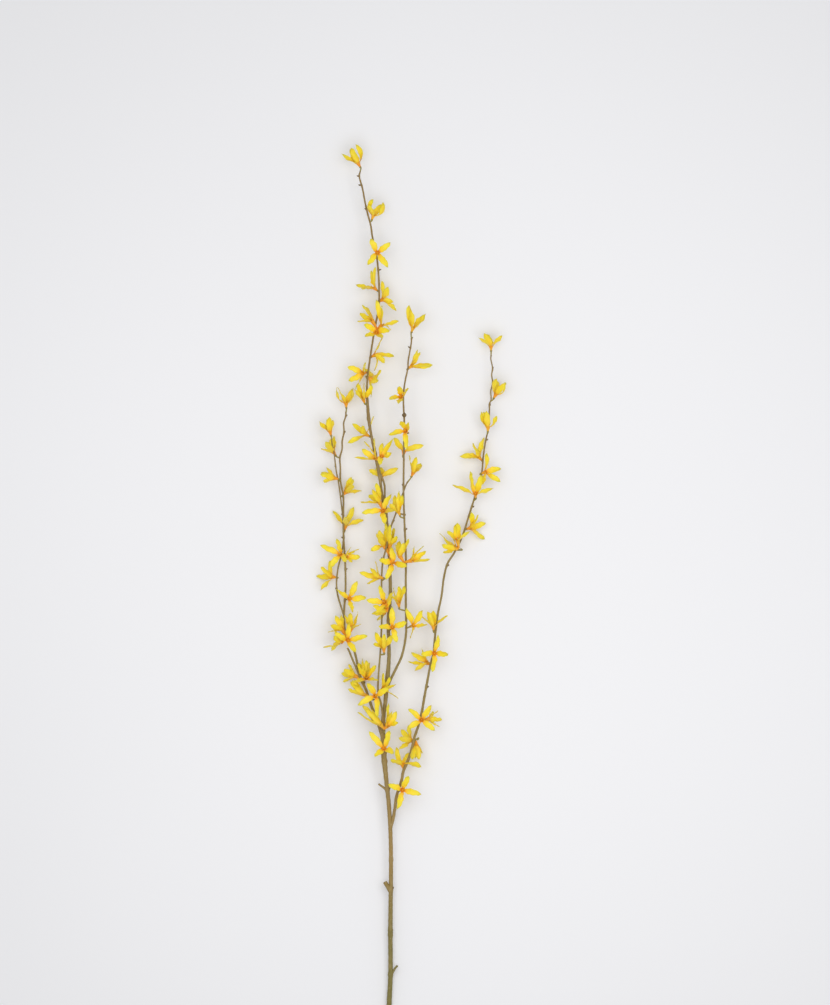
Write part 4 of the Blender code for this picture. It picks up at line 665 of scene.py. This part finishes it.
class Mesh:
    """Collects closed bodies with a flow map: u across or around, v along."""

    def __init__(self):
        self.verts, self.faces, self.flow, self.tone = [], [], [], []
        self.count = 0

    def add(self, points, faces, flow, tone):
        """Adds a body: points in mm, faces, flow (u, v) and tone at each point."""
        self.verts.append(points)
        self.faces += [tuple(i + self.count for i in f) for f in oriented(points, faces)]
        self.flow.append(flow)
        self.tone.append(tone)
        self.count += len(points)

    def skin(self, rings, ends, along, tone):
        """Adds rings of points joined into a tube and closed by a fan at each end."""
        rows, sides = rings.shape[:2]
        faces = grid_faces(rows, sides, True)
        last = (rows - 1) * sides
        for j in range(sides):
            k = (j + 1) % sides
            faces += [(rows * sides, k, j), (rows * sides + 1, last + j, last + k)]
        u = np.append(np.tile(np.arange(sides) / sides, rows), [0.5, 0.5])
        v = np.append(np.repeat(along, sides), [along[0], along[-1]])
        points = np.vstack([rings.reshape(-1, 3), ends])
        self.add(points, faces, np.column_stack([u, v]), np.full(len(points), float(tone)))

    def lathe(self, base, axis, side, profile, sides, tone, along=None):
        """Adds base + d axis + r (cos g side + sin g up) for rows of d and r in the profile."""
        g = 2 * np.pi * np.arange(sides) / sides
        turn = around(side, np.cross(axis, side), g)
        rings = np.array([base + d * axis + r * turn for d, r in profile])
        ends = [base + profile[0][0] * axis, base + profile[-1][0] * axis]
        self.skin(rings, ends, np.linspace(0, 1, len(profile)) if along is None else along, tone)

    def build(self, name, mat, nodes=()):
        mesh = bpy.data.meshes.new(name)
        mesh.from_pydata((np.vstack(self.verts) * METRES).tolist(), [], self.faces)
        loops = np.empty(len(mesh.loops), np.int32)
        mesh.loops.foreach_get("vertex_index", loops)
        uv = mesh.uv_layers.new(name="flow")
        uv.data.foreach_set("uv", np.vstack(self.flow)[loops].ravel().astype(np.float32))
        attr = mesh.attributes.new("tone", "FLOAT", "POINT")
        attr.data.foreach_set("value", np.concatenate(self.tone).astype(np.float32))
        mesh.shade_smooth()
        mesh.materials.append(mat)
        ob = bpy.data.objects.new(name, mesh)
        bpy.context.scene.collection.objects.link(ob)
        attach(ob, "root")
        if nodes:
            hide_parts(*nodes)


def bump(x, centre, spread):
    """A bell curve of height one."""
    return np.exp(-(((x - centre) / spread) ** 2))


def petal_grid(out, bloom, k, rng):
    """One petal: c(s) + v w(s) across + h(s, v) normal, front and back skins that meet at the rim.

    The half-width follows the coarse petal, fuller at the root and slimmer near the tip, times an
    uneven rim 0.10 sin(7s) + 0.075 sin(19s). The height h sums a wave at the rim, a groove along
    the midrib and fine crumples.
    """
    s = np.linspace(0.0, 1.0, ROWS_ALONG) ** 0.9
    v = np.sin(np.linspace(-0.5, 0.5, COLS_ACROSS) * np.pi)
    S, V = np.meshgrid(s, v, indexing="ij")
    rim_side = np.sign(V)
    past = np.clip((S - TIP_ROUND) / (1.0 - TIP_ROUND), 0, 1)
    narrow = (1 - 0.97 * past ** rng.uniform(1.3, 2.6)) ** 0.6
    phase = rng.uniform(0, 6.28, 6)
    wave = rng.uniform(0.3, 0.7)
    uneven = 0.10 * np.sin(7 * S + phase[0] + 2 * rim_side)
    uneven += 0.075 * np.sin(19 * S + phase[3] - 1.5 * rim_side)
    full = 1 + 0.30 * bump(S, 0.28, 0.22) - 0.10 * bump(S, 0.82, 0.16)
    side = V * narrow * full * (1 + uneven) + 0.09 * np.sin(5 * S + phase[4]) * S
    height = wave * V**2 * np.sin(8.5 * S + phase[1] + 1.3 * rim_side) * np.clip(S * 3, 0, 1)
    height += 0.22 * np.sin(15 * S + phase[2]) * V**2 - 0.16 * bump(V, 0, 0.22)
    height += 0.16 * np.sin(21 * S + phase[5]) * np.sin(3 * V + phase[3])
    height += 0.6 * rng.uniform(-0.6, 1.0) * past**2
    notch = rng.uniform(-0.01, 0.03) * bump(V, 0, 0.35) * (past > 0)
    normal = bloom.frame(k, s)[2][:, None, :]
    mid = bloom.petal(k, np.clip(S - notch, 0, 1), side) + height[..., None] * normal
    half = 0.5 * (RIM + (BLADE - RIM) * (1 - V**2) * (1 - 0.7 * past))[..., None] * normal
    rows, cols = S.shape
    m = rows * cols
    faces = grid_faces(rows, cols, False)
    back_faces = [tuple(m + i for i in reversed(face)) for face in faces]
    rim = list(range(cols)) + [i * cols + cols - 1 for i in range(1, rows)]
    rim += [m - cols + j for j in range(cols - 2, -1, -1)] + [i * cols for i in range(rows - 2, 0, -1)]
    edge = [(a, m + a, m + b, b) for a, b in zip(rim, rim[1:] + rim[:1])]
    points = np.vstack([(mid + half).reshape(-1, 3), (mid - half).reshape(-1, 3)])
    flow = np.tile(np.stack([(V + 1) / 2, S], -1).reshape(-1, 2), (2, 1))
    front_tone = rng.uniform(0, 0.45)
    back_tone = 0.55 + 0.1 * rng.uniform()
    out.add(points, faces + back_faces + edge, flow, np.repeat([front_tone, back_tone], m))


def funnel(out, bloom):
    """Corolla tube: outer skin from the root to the throat, then down the inside."""
    base, top = bloom.base(), bloom.top()
    axis = unit(top - base)
    tall = np.linalg.norm(top - base)
    side = unit(bloom.ring(0) - (bloom.ring(0) @ axis) * axis)
    t = np.linspace(0, 1, FUNNEL_ROWS)
    outer = FUNNEL_ROOT + (THROAT - 0.75) * t**1.3
    rows = [(0.0, 0.25)] + [(tall * x, r) for x, r in zip(t, outer)]
    rows += [(tall * 1.03, outer[-1] + 0.1)]
    rows += [(tall * x, r - FUNNEL_WALL) for x, r in zip(t[::-1][:-2], outer[::-1][:-2])]
    along = [0.0, *(0.02 * t), 0.03] + [0.05] * (FUNNEL_ROWS - 2)
    out.lathe(base, axis, side, rows, FUNNEL_SIDES, 0.2, along)


def anthers(out, bloom):
    """Two stamens and a style in the throat."""
    for i, tall in enumerate(STAMEN_LENGTHS):
        root = bloom.top() - 2.2 * bloom.F + 0.55 * bloom.ring(1.3 + 2.7 * i)
        out.lathe(root, bloom.F, bloom.ring(0), [(tall * d, r) for d, r in STAMEN], 8, 0.5)


def lengths(line):
    """Distance along a line at each of its rows."""
    return np.append(0, np.cumsum(np.linalg.norm(np.diff(line[:, :3], axis=0), axis=1)))


def branch(out, line, sides, relief, tone):
    """Closed skin round rows of x, y, z, radius: r = radius + relief(angle, length, radius) in mm."""
    P = line[:, :3]
    along = lengths(line)
    up = np.array([0.0, 0.0, 1.0])
    g = 2 * np.pi * np.arange(sides) / sides
    rings = []
    for p, t, y, radius in zip(P, unit(np.gradient(P, axis=0)), along, line[:, 3]):
        side = unit(np.cross(up, t))
        up = np.cross(t, side)
        rings.append(p + (radius + relief(g, y, radius))[:, None] * around(side, up, g))
    rings = np.array(rings)
    rings[..., 2] = np.maximum(rings[..., 2], LOWEST)
    out.skin(rings, P[[0, -1]], along / 10.0, tone)


def bark_relief(seed, swells):
    """Shallow ridges, dents and swollen nodes along a stem."""
    ph = np.random.default_rng(seed).uniform(0, 6.28, 12)

    def relief(g, y, r):
        ridges = 0.030 * np.sin(5 * g + 0.05 * y + ph[0]) + 0.022 * np.sin(9 * g - 0.11 * y + ph[1])
        lumps = 0.035 * np.sin(0.31 * y + ph[2]) * np.sin(2 * g + ph[3])
        lumps += 0.03 * np.sin(0.83 * y + ph[4] + g)
        fine = 0.014 * np.sin(2.3 * y + 3 * g + ph[5]) + 0.012 * np.sin(3.7 * y - 4 * g + ph[6])
        return r * (ridges + lumps + fine) + sum(a * bump(y, c, w) for c, a, w in swells)

    return relief


def stem_piece(out, name, index):
    """Fine closed skin of one stem, swollen at its buds and at random nodes."""
    line = stem_line(name, BARK_STEP)
    along = lengths(line)
    swells = []
    for x, y, *_ in BUDS.get(name, ()):
        i = beside(line, mm(x, y))
        swells.append((along[i], 0.16 * line[i, 3] + 0.12, 1.7))
        swells.append((along[i] + 2.4, 0.08 * line[i, 3], 0.7))
    rng = np.random.default_rng(40 + index)
    y = rng.uniform(4, 14)
    while y < along[-1] - 3:
        swells.append((y, rng.uniform(0.05, 0.14), rng.uniform(0.5, 1.1)))
        y += rng.uniform(9, 26)
    sides = SIDES_THICK if line[:, 3].max() > THICK_STEM else SIDES_THIN
    branch(out, line, sides, bark_relief(60 + index, swells), 0.1 * index)


def bud_piece(out, line, row, index):
    """A pointed bud of two pairs of scales round a core."""
    x, y, heading, length, r = row
    p = mm(x, y)
    near = line[beside(line, p)]
    h = np.radians(heading)
    d = unit(np.array([np.cos(h), np.sin(h), 0.15]))
    root = np.array([*p, near[2]]) * 0.45 + near[:3] * 0.55
    side = unit(np.cross(d, [0, 0, 1.0]))
    out.lathe(root, d, side, [(q * length, w * r) for q, w in BUD], 10, 0.5)
    scale = [(q * length, w * r) for q, w in SCALE]
    for i in range(4):
        lean = around(side, np.cross(d, side), 0.5 * np.pi * i + 0.3 * index)
        base = root + 0.25 * r * lean + (0.05 + 0.1 * (i % 2)) * length * d
        out.lathe(base, unit(d + 0.12 * lean), side, scale, 8, 0.6)


def stalks(out, blooms):
    """The stalk under each bloom and its cup with four short pointed lobes."""
    for rows in pedicels(blooms):
        fine = smooth(rows, STALK_STEP)
        branch(out, fine, STALK_SIDES, lambda g, y, r: 0.03 * np.sin(3 * g + 2 * y), 0.3)
        end = fine[-1, :3]
        axis = unit(end - fine[-4, :3])
        side = unit(np.cross(axis, [0.3, 0.2, 1.0]))
        for j in range(4):
            lean = around(side, np.cross(axis, side), 0.5 * np.pi * j + 0.4)
            root = end - 0.9 * axis + 0.95 * lean
            out.lathe(root, unit(axis + 0.10 * lean), side, LOBE, 6, 0.7)


class Net:
    """Short ways to add shader nodes to a tree."""

    def __init__(self, tree):
        self.tree = tree

    def put(self, kind, values=(), **links):
        """A node of a kind with properties (.name) or socket values (name), linked from sockets."""
        node = self.tree.nodes.new("ShaderNode" + kind)
        for key, value in dict(values).items():
            if key.startswith("."):
                setattr(node, key[1:], value)
            else:
                node.inputs[key].default_value = value
        for key, socket in links.items():
            self.tree.links.new(socket, node.inputs[key])
        return node

    def feed(self, node, index, value):
        """Sets or links an input."""
        if hasattr(value, "links"):
            self.tree.links.new(value, node.inputs[index])
        elif isinstance(value, tuple):
            node.inputs[index].default_value = (*value, 1.0)
        else:
            node.inputs[index].default_value = value

    def noise(self, scale, detail, place):
        """Noise over a place."""
        return self.put("TexNoise", {"Scale": scale, "Detail": detail}, Vector=place).outputs[0]

    def ramp(self, fac, stops):
        """Colour ramp with (place, colour) stops."""
        node = self.put("ValToRGB", (), Fac=fac)
        elements = node.color_ramp.elements
        while len(elements) < len(stops):
            elements.new(0.5)
        for element, (place, colour) in zip(elements, stops):
            element.position = place
            element.color = (*colour, 1.0)
        return node.outputs[0]

    def math(self, operation, a, b=0.0, clamp=False):
        """A math node on sockets or numbers."""
        node = self.put("Math", {".operation": operation, ".use_clamp": clamp})
        self.feed(node, 0, a)
        self.feed(node, 1, b)
        return node.outputs[0]

    def over(self, a, level, gain):
        """(a - level) gain, kept between 0 and 1."""
        return self.math("MULTIPLY", self.math("SUBTRACT", a, level), gain, True)

    def tint(self, colour, mask, share, other):
        """The colour, mixed with a share of the other where the mask is."""
        node = self.put("Mix", {".data_type": "RGBA"})
        self.feed(node, 0, self.math("MULTIPLY", mask, share))
        self.feed(node, 6, colour)
        self.feed(node, 7, other)
        return node.outputs[2]


def group(name, inputs, outputs):
    """An empty shader node group, its input sockets and its output node."""
    tree = bpy.data.node_groups.new(name, "ShaderNodeTree")
    for in_out, sockets in (("INPUT", inputs), ("OUTPUT", outputs)):
        for label, kind in sockets.items():
            tree.interface.new_socket(label, in_out=in_out, socket_type="NodeSocket" + kind)
    net = Net(tree)
    return net, tree.nodes.new("NodeGroupInput").outputs, tree.nodes.new("NodeGroupOutput")


PETAL_STOPS = (
    (0.0, (0.88, 0.30, 0.006)),
    (0.09, (0.92, 0.43, 0.008)),
    (0.22, (0.96, 0.61, 0.012)),
    (0.5, (0.97, 0.73, 0.018)),
    (0.84, (0.92, 0.74, 0.024)),
    (1.0, (0.60, 0.54, 0.022)),
)
EDGE_OLIVE = (0.52, 0.46, 0.015)
BACK_GOLD = (0.80, 0.58, 0.006)
PALE_YELLOW = (0.96, 0.84, 0.06)
VEIN = (0.78, 0.46, 0.010)
# Bark colours from the cut end to the tip, and the branch's length along Y in metres.
BARK_STOPS = (
    (0.0, (0.202, 0.180, 0.045)),
    (0.12, (0.224, 0.180, 0.050)),
    (0.2, (0.336, 0.216, 0.065)),
    (0.42, (0.280, 0.210, 0.065)),
    (0.7, (0.269, 0.180, 0.060)),
    (1.0, (0.280, 0.180, 0.050)),
)
HALF_LENGTH = 0.513
PER_LENGTH = 0.9747
BARK_DARK = (0.10, 0.065, 0.025)
BARK_LIGHT = (0.38, 0.28, 0.13)
LENTICEL = (0.48, 0.38, 0.22)
CUP_GREEN = ((0.0, (0.20, 0.14, 0.045)), (0.5, (0.30, 0.25, 0.05)), (1.0, (0.42, 0.30, 0.05)))
BUD_BROWN = ((0.3, BARK_DARK), (0.7, (0.26, 0.17, 0.07)))
ANTHER_ORANGE = ((0.3, (0.86, 0.36, 0.01)), (0.7, (0.92, 0.58, 0.03)))


def petal_group():
    """Colour and height of a petal from its flow map, tone and object coordinates."""
    inputs = {"Along": "Float", "Across": "Float", "Tone": "Float", "Place": "Vector"}
    outputs = {"Colour": "Color", "Height": "Float"}
    net, (along, across, tone, place, *_), out = group("petal_colour", inputs, outputs)
    noise = net.noise(160.0, 4.0, place)
    broad = net.noise(85.0, 3.0, place)
    shift = net.math("ADD", along, net.math("MULTIPLY", net.math("SUBTRACT", noise, 0.5), 0.22))
    colour = net.ramp(shift, PETAL_STOPS)
    edge = net.math("ABSOLUTE", net.math("SUBTRACT", net.math("MULTIPLY", across, 2.0), 1.0))
    patchy = net.math("MULTIPLY", broad, 1.1)
    rim = net.math("MULTIPLY", net.over(edge, 0.70, 3.0), patchy, True)
    colour = net.tint(colour, rim, 1.0, EDGE_OLIVE)
    colour = net.tint(colour, net.over(tone, 0.5, 12.0), 0.38, BACK_GOLD)
    colour = net.tint(colour, net.over(broad, 0.48, 2.2), 0.6, PALE_YELLOW)
    bent = net.math("ADD", net.math("MULTIPLY", across, 46.0), net.math("MULTIPLY", broad, 3.0))
    vein = net.math("SINE", bent)
    colour = net.tint(colour, net.over(vein, 0.55, 1.1), 0.20, VEIN)
    net.feed(out, 0, colour)
    net.feed(out, 1, net.math("ADD", net.math("MULTIPLY", vein, 0.35), net.math("MULTIPLY", noise, 0.9)))
    return net.tree


def bark_group():
    """Colour, roughness and height of bark from object coordinates."""
    outputs = {"Colour": "Color", "Roughness": "Float", "Height": "Float"}
    net, (place, *_), out = group("bark_colour", {"Place": "Vector"}, outputs)
    y = net.put("SeparateXYZ", (), Vector=place).outputs[1]
    colour = net.ramp(net.math("MULTIPLY", net.math("ADD", y, HALF_LENGTH), PER_LENGTH), BARK_STOPS)
    stretch = net.put("Mapping", {"Scale": (1.0, 0.16, 1.0)}, Vector=place).outputs[0]
    streak = net.noise(900.0, 5.0, stretch)
    colour = net.tint(colour, net.over(streak, 0.5, 3.2), 0.6, BARK_DARK)
    colour = net.tint(colour, net.over(net.noise(95.0, 3.0, place), 0.52, 5.0), 0.5, BARK_LIGHT)
    dots = net.put("TexVoronoi", {"Scale": 330.0}, Vector=place).outputs[0]
    spot = net.over(dots, 0.22, -9.0)
    net.feed(out, 0, net.tint(colour, spot, 0.65, LENTICEL))
    net.feed(out, 1, net.math("ADD", 0.62, net.math("MULTIPLY", streak, 0.3)))
    net.feed(out, 2, net.math("ADD", net.math("MULTIPLY", streak, 0.8), net.math("MULTIPLY", spot, 0.6)))
    return net.tree


def material(name, roughness, strength, distance):
    """A material with a Principled shader and a bump: its node maker, shader, place and bump."""
    mat = bpy.data.materials.new(name)
    mat.use_nodes = True
    net = Net(mat.node_tree)
    shader = mat.node_tree.nodes["Principled BSDF"]
    shader.inputs["Roughness"].default_value = roughness
    bumps = net.put("Bump", {"Strength": strength, "Distance": distance})
    net.feed(shader, "Normal", bumps.outputs[0])
    return mat, net, shader, net.put("TexCoord").outputs["Object"], bumps


def petal_material():
    """Yellow petal, orange at the throat, olive at tip and rim."""
    mat, net, shader, place, bumps = material("petal_fine", 0.5, 0.25, 0.0004)
    uv = net.put("UVMap", {".uv_map": "flow"}).outputs[0]
    across, along, _ = net.put("SeparateXYZ", (), Vector=uv).outputs
    tone = net.put("Attribute", {".attribute_name": "tone"}).outputs["Fac"]
    links = {"Along": along, "Across": across, "Tone": tone, "Place": place}
    node = net.put("Group", {".node_tree": petal_group()}, **links)
    net.feed(shader, "Base Color", node.outputs[0])
    net.feed(bumps, "Height", node.outputs[1])
    shader.inputs["Subsurface Weight"].default_value = 0.25
    shader.inputs["Subsurface Radius"].default_value = (1.0, 0.55, 0.08)
    shader.inputs["Subsurface Scale"].default_value = 0.0012
    shader.inputs["Sheen Weight"].default_value = 0.08
    return mat


def bark_material():
    """Brown bark with streaks and pale dots, olive near the cut end."""
    mat, net, shader, place, bumps = material("bark_fine", 0.75, 0.55, 0.0004)
    node = net.put("Group", {".node_tree": bark_group()}, Place=place)
    net.feed(shader, "Base Color", node.outputs[0])
    net.feed(shader, "Roughness", node.outputs[1])
    net.feed(bumps, "Height", node.outputs[2])
    return mat


def plain_material(name, stops, roughness, scale):
    """A ramp of colours over noise, for cups, buds and stamens."""
    mat, net, shader, place, bumps = material(name, roughness, 0.4, 0.0003)
    noise = net.noise(scale, 4.0, place)
    net.feed(shader, "Base Color", net.ramp(noise, stops))
    net.feed(bumps, "Height", noise)
    return mat


# Surface: half its size in metres and its colour. Light from all round, then area lights by name,
# power in watts, size and place in metres.
FLOOR_SIZE = 6.0
FLOOR_COLOUR = (0.87, 0.87, 0.89)
FLOOR_DARKER = 0.985
WORLD_LIGHT = 0.52
LIGHTS = (
    ("key", 12.5, 1.5, (0.12, 0.03, 1.35)),
    ("fill", 2.0, 1.6, (-0.9, 0.5, 2.0)),
)


def floor():
    """A pale surface with a faint cloudy tone."""
    mesh = bpy.data.meshes.new("floor")
    corners = [(x * FLOOR_SIZE, y * FLOOR_SIZE, 0) for x, y in ((-1, -1), (1, -1), (1, 1), (-1, 1))]
    mesh.from_pydata(corners, [], [(0, 1, 2, 3)])
    ob = bpy.data.objects.new("floor", mesh)
    bpy.context.scene.collection.objects.link(ob)
    mat = bpy.data.materials.new("floor_pale")
    mat.use_nodes = True
    net = Net(mat.node_tree)
    shader = mat.node_tree.nodes["Principled BSDF"]
    shader.inputs["Roughness"].default_value = 0.9
    shader.inputs["Specular IOR Level"].default_value = 0.1
    noise = net.noise(1.3, 1.0, net.put("TexCoord").outputs["Object"])
    darker = tuple(FLOOR_DARKER * c for c in FLOOR_COLOUR)
    net.feed(shader, "Base Color", net.ramp(noise, ((0.3, darker), (0.7, FLOOR_COLOUR))))
    mesh.materials.append(mat)


def lights():
    """Soft light from all round and from above."""
    world = bpy.data.worlds.new("soft")
    world.use_nodes = True
    background = world.node_tree.nodes["Background"]
    background.inputs[0].default_value = (1.0, 1.0, 1.0, 1.0)
    background.inputs[1].default_value = WORLD_LIGHT
    bpy.context.scene.world = world
    bpy.context.scene.view_settings.view_transform = "Standard"
    for name, power, size, place in LIGHTS:
        data = bpy.data.lights.new(name, "AREA")
        data.energy = power
        data.size = size
        light = bpy.data.objects.new(name, data)
        light.location = place
        light.rotation_euler = mathutils.Vector([-c for c in place]).to_track_quat("-Z", "Y").to_euler()
        bpy.context.scene.collection.objects.link(light)


# Photo frame in pixels, the camera's height over the stems, the stems' height and the sensor, in m.
FRAME_PX = (830.0, 1005.0)
CAMERA_UP = 6.0
STEM_HEIGHT = 0.022
SENSOR = 0.036


def camera():
    """A long lens over the middle of the photo's frame, up is +Y."""
    data = bpy.data.cameras.new("camera")
    data.sensor_fit = "VERTICAL"
    data.sensor_height = SENSOR / METRES
    data.lens = data.sensor_height * CAMERA_UP / (FRAME_PX[1] * MM_PER_PX * METRES)
    data.clip_end = 50.0
    cam = bpy.data.objects.new("camera", data)
    x, y = mm(FRAME_PX[0] / 2, FRAME_PX[1] / 2) * METRES
    cam.location = (x, y, CAMERA_UP + STEM_HEIGHT)
    bpy.context.scene.collection.objects.link(cam)
    bpy.context.scene.camera = cam


def main():
    """Builds every fine piece, then the stage."""
    blooms = bloom_list()
    wood = Mesh()
    for i, name in enumerate(STEMS):
        stem_piece(wood, name, i)
    for i, rows in enumerate(STUBS):
        line = smooth([[*mm(x, y), z, r] for x, y, z, r in rows], STUB_STEP)
        branch(wood, line, STUB_SIDES, bark_relief(90 + i, [(1.0, 0.15, 1.2)]), 0.5)
    wood.build("stem_bark", bark_material(), ["woody_stem"])
    buds = Mesh()
    rows = [(LINES[stem], row) for stem, group_rows in BUDS.items() for row in group_rows]
    for i, (line, row) in enumerate(rows):
        bud_piece(buds, line, row, i)
    buds.build("bud_scales", plain_material("bud_brown", BUD_BROWN, 0.7, 600.0))
    cups = Mesh()
    stalks(cups, blooms)
    cups.build("stalks_and_cups", plain_material("cup_green", CUP_GREEN, 0.6, 420.0))
    petals = petal_material()
    stamens = Mesh()
    for key, members in by_node(blooms).items():
        corolla = Mesh()
        for bloom in members:
            rng = np.random.default_rng(700 + bloom.i)
            for k in range(4):
                petal_grid(corolla, bloom, k, rng)
            funnel(corolla, bloom)
            anthers(stamens, bloom)
        name = f"{NAMES[key[0]]}_{key[1:]}"
        corolla.build(f"corolla_{name}", petals, [f"bloom_{name}"])
    stamens.build("stamens", plain_material("anther_orange", ANTHER_ORANGE, 0.6, 900.0))
    floor()
    lights()
    camera()


main()
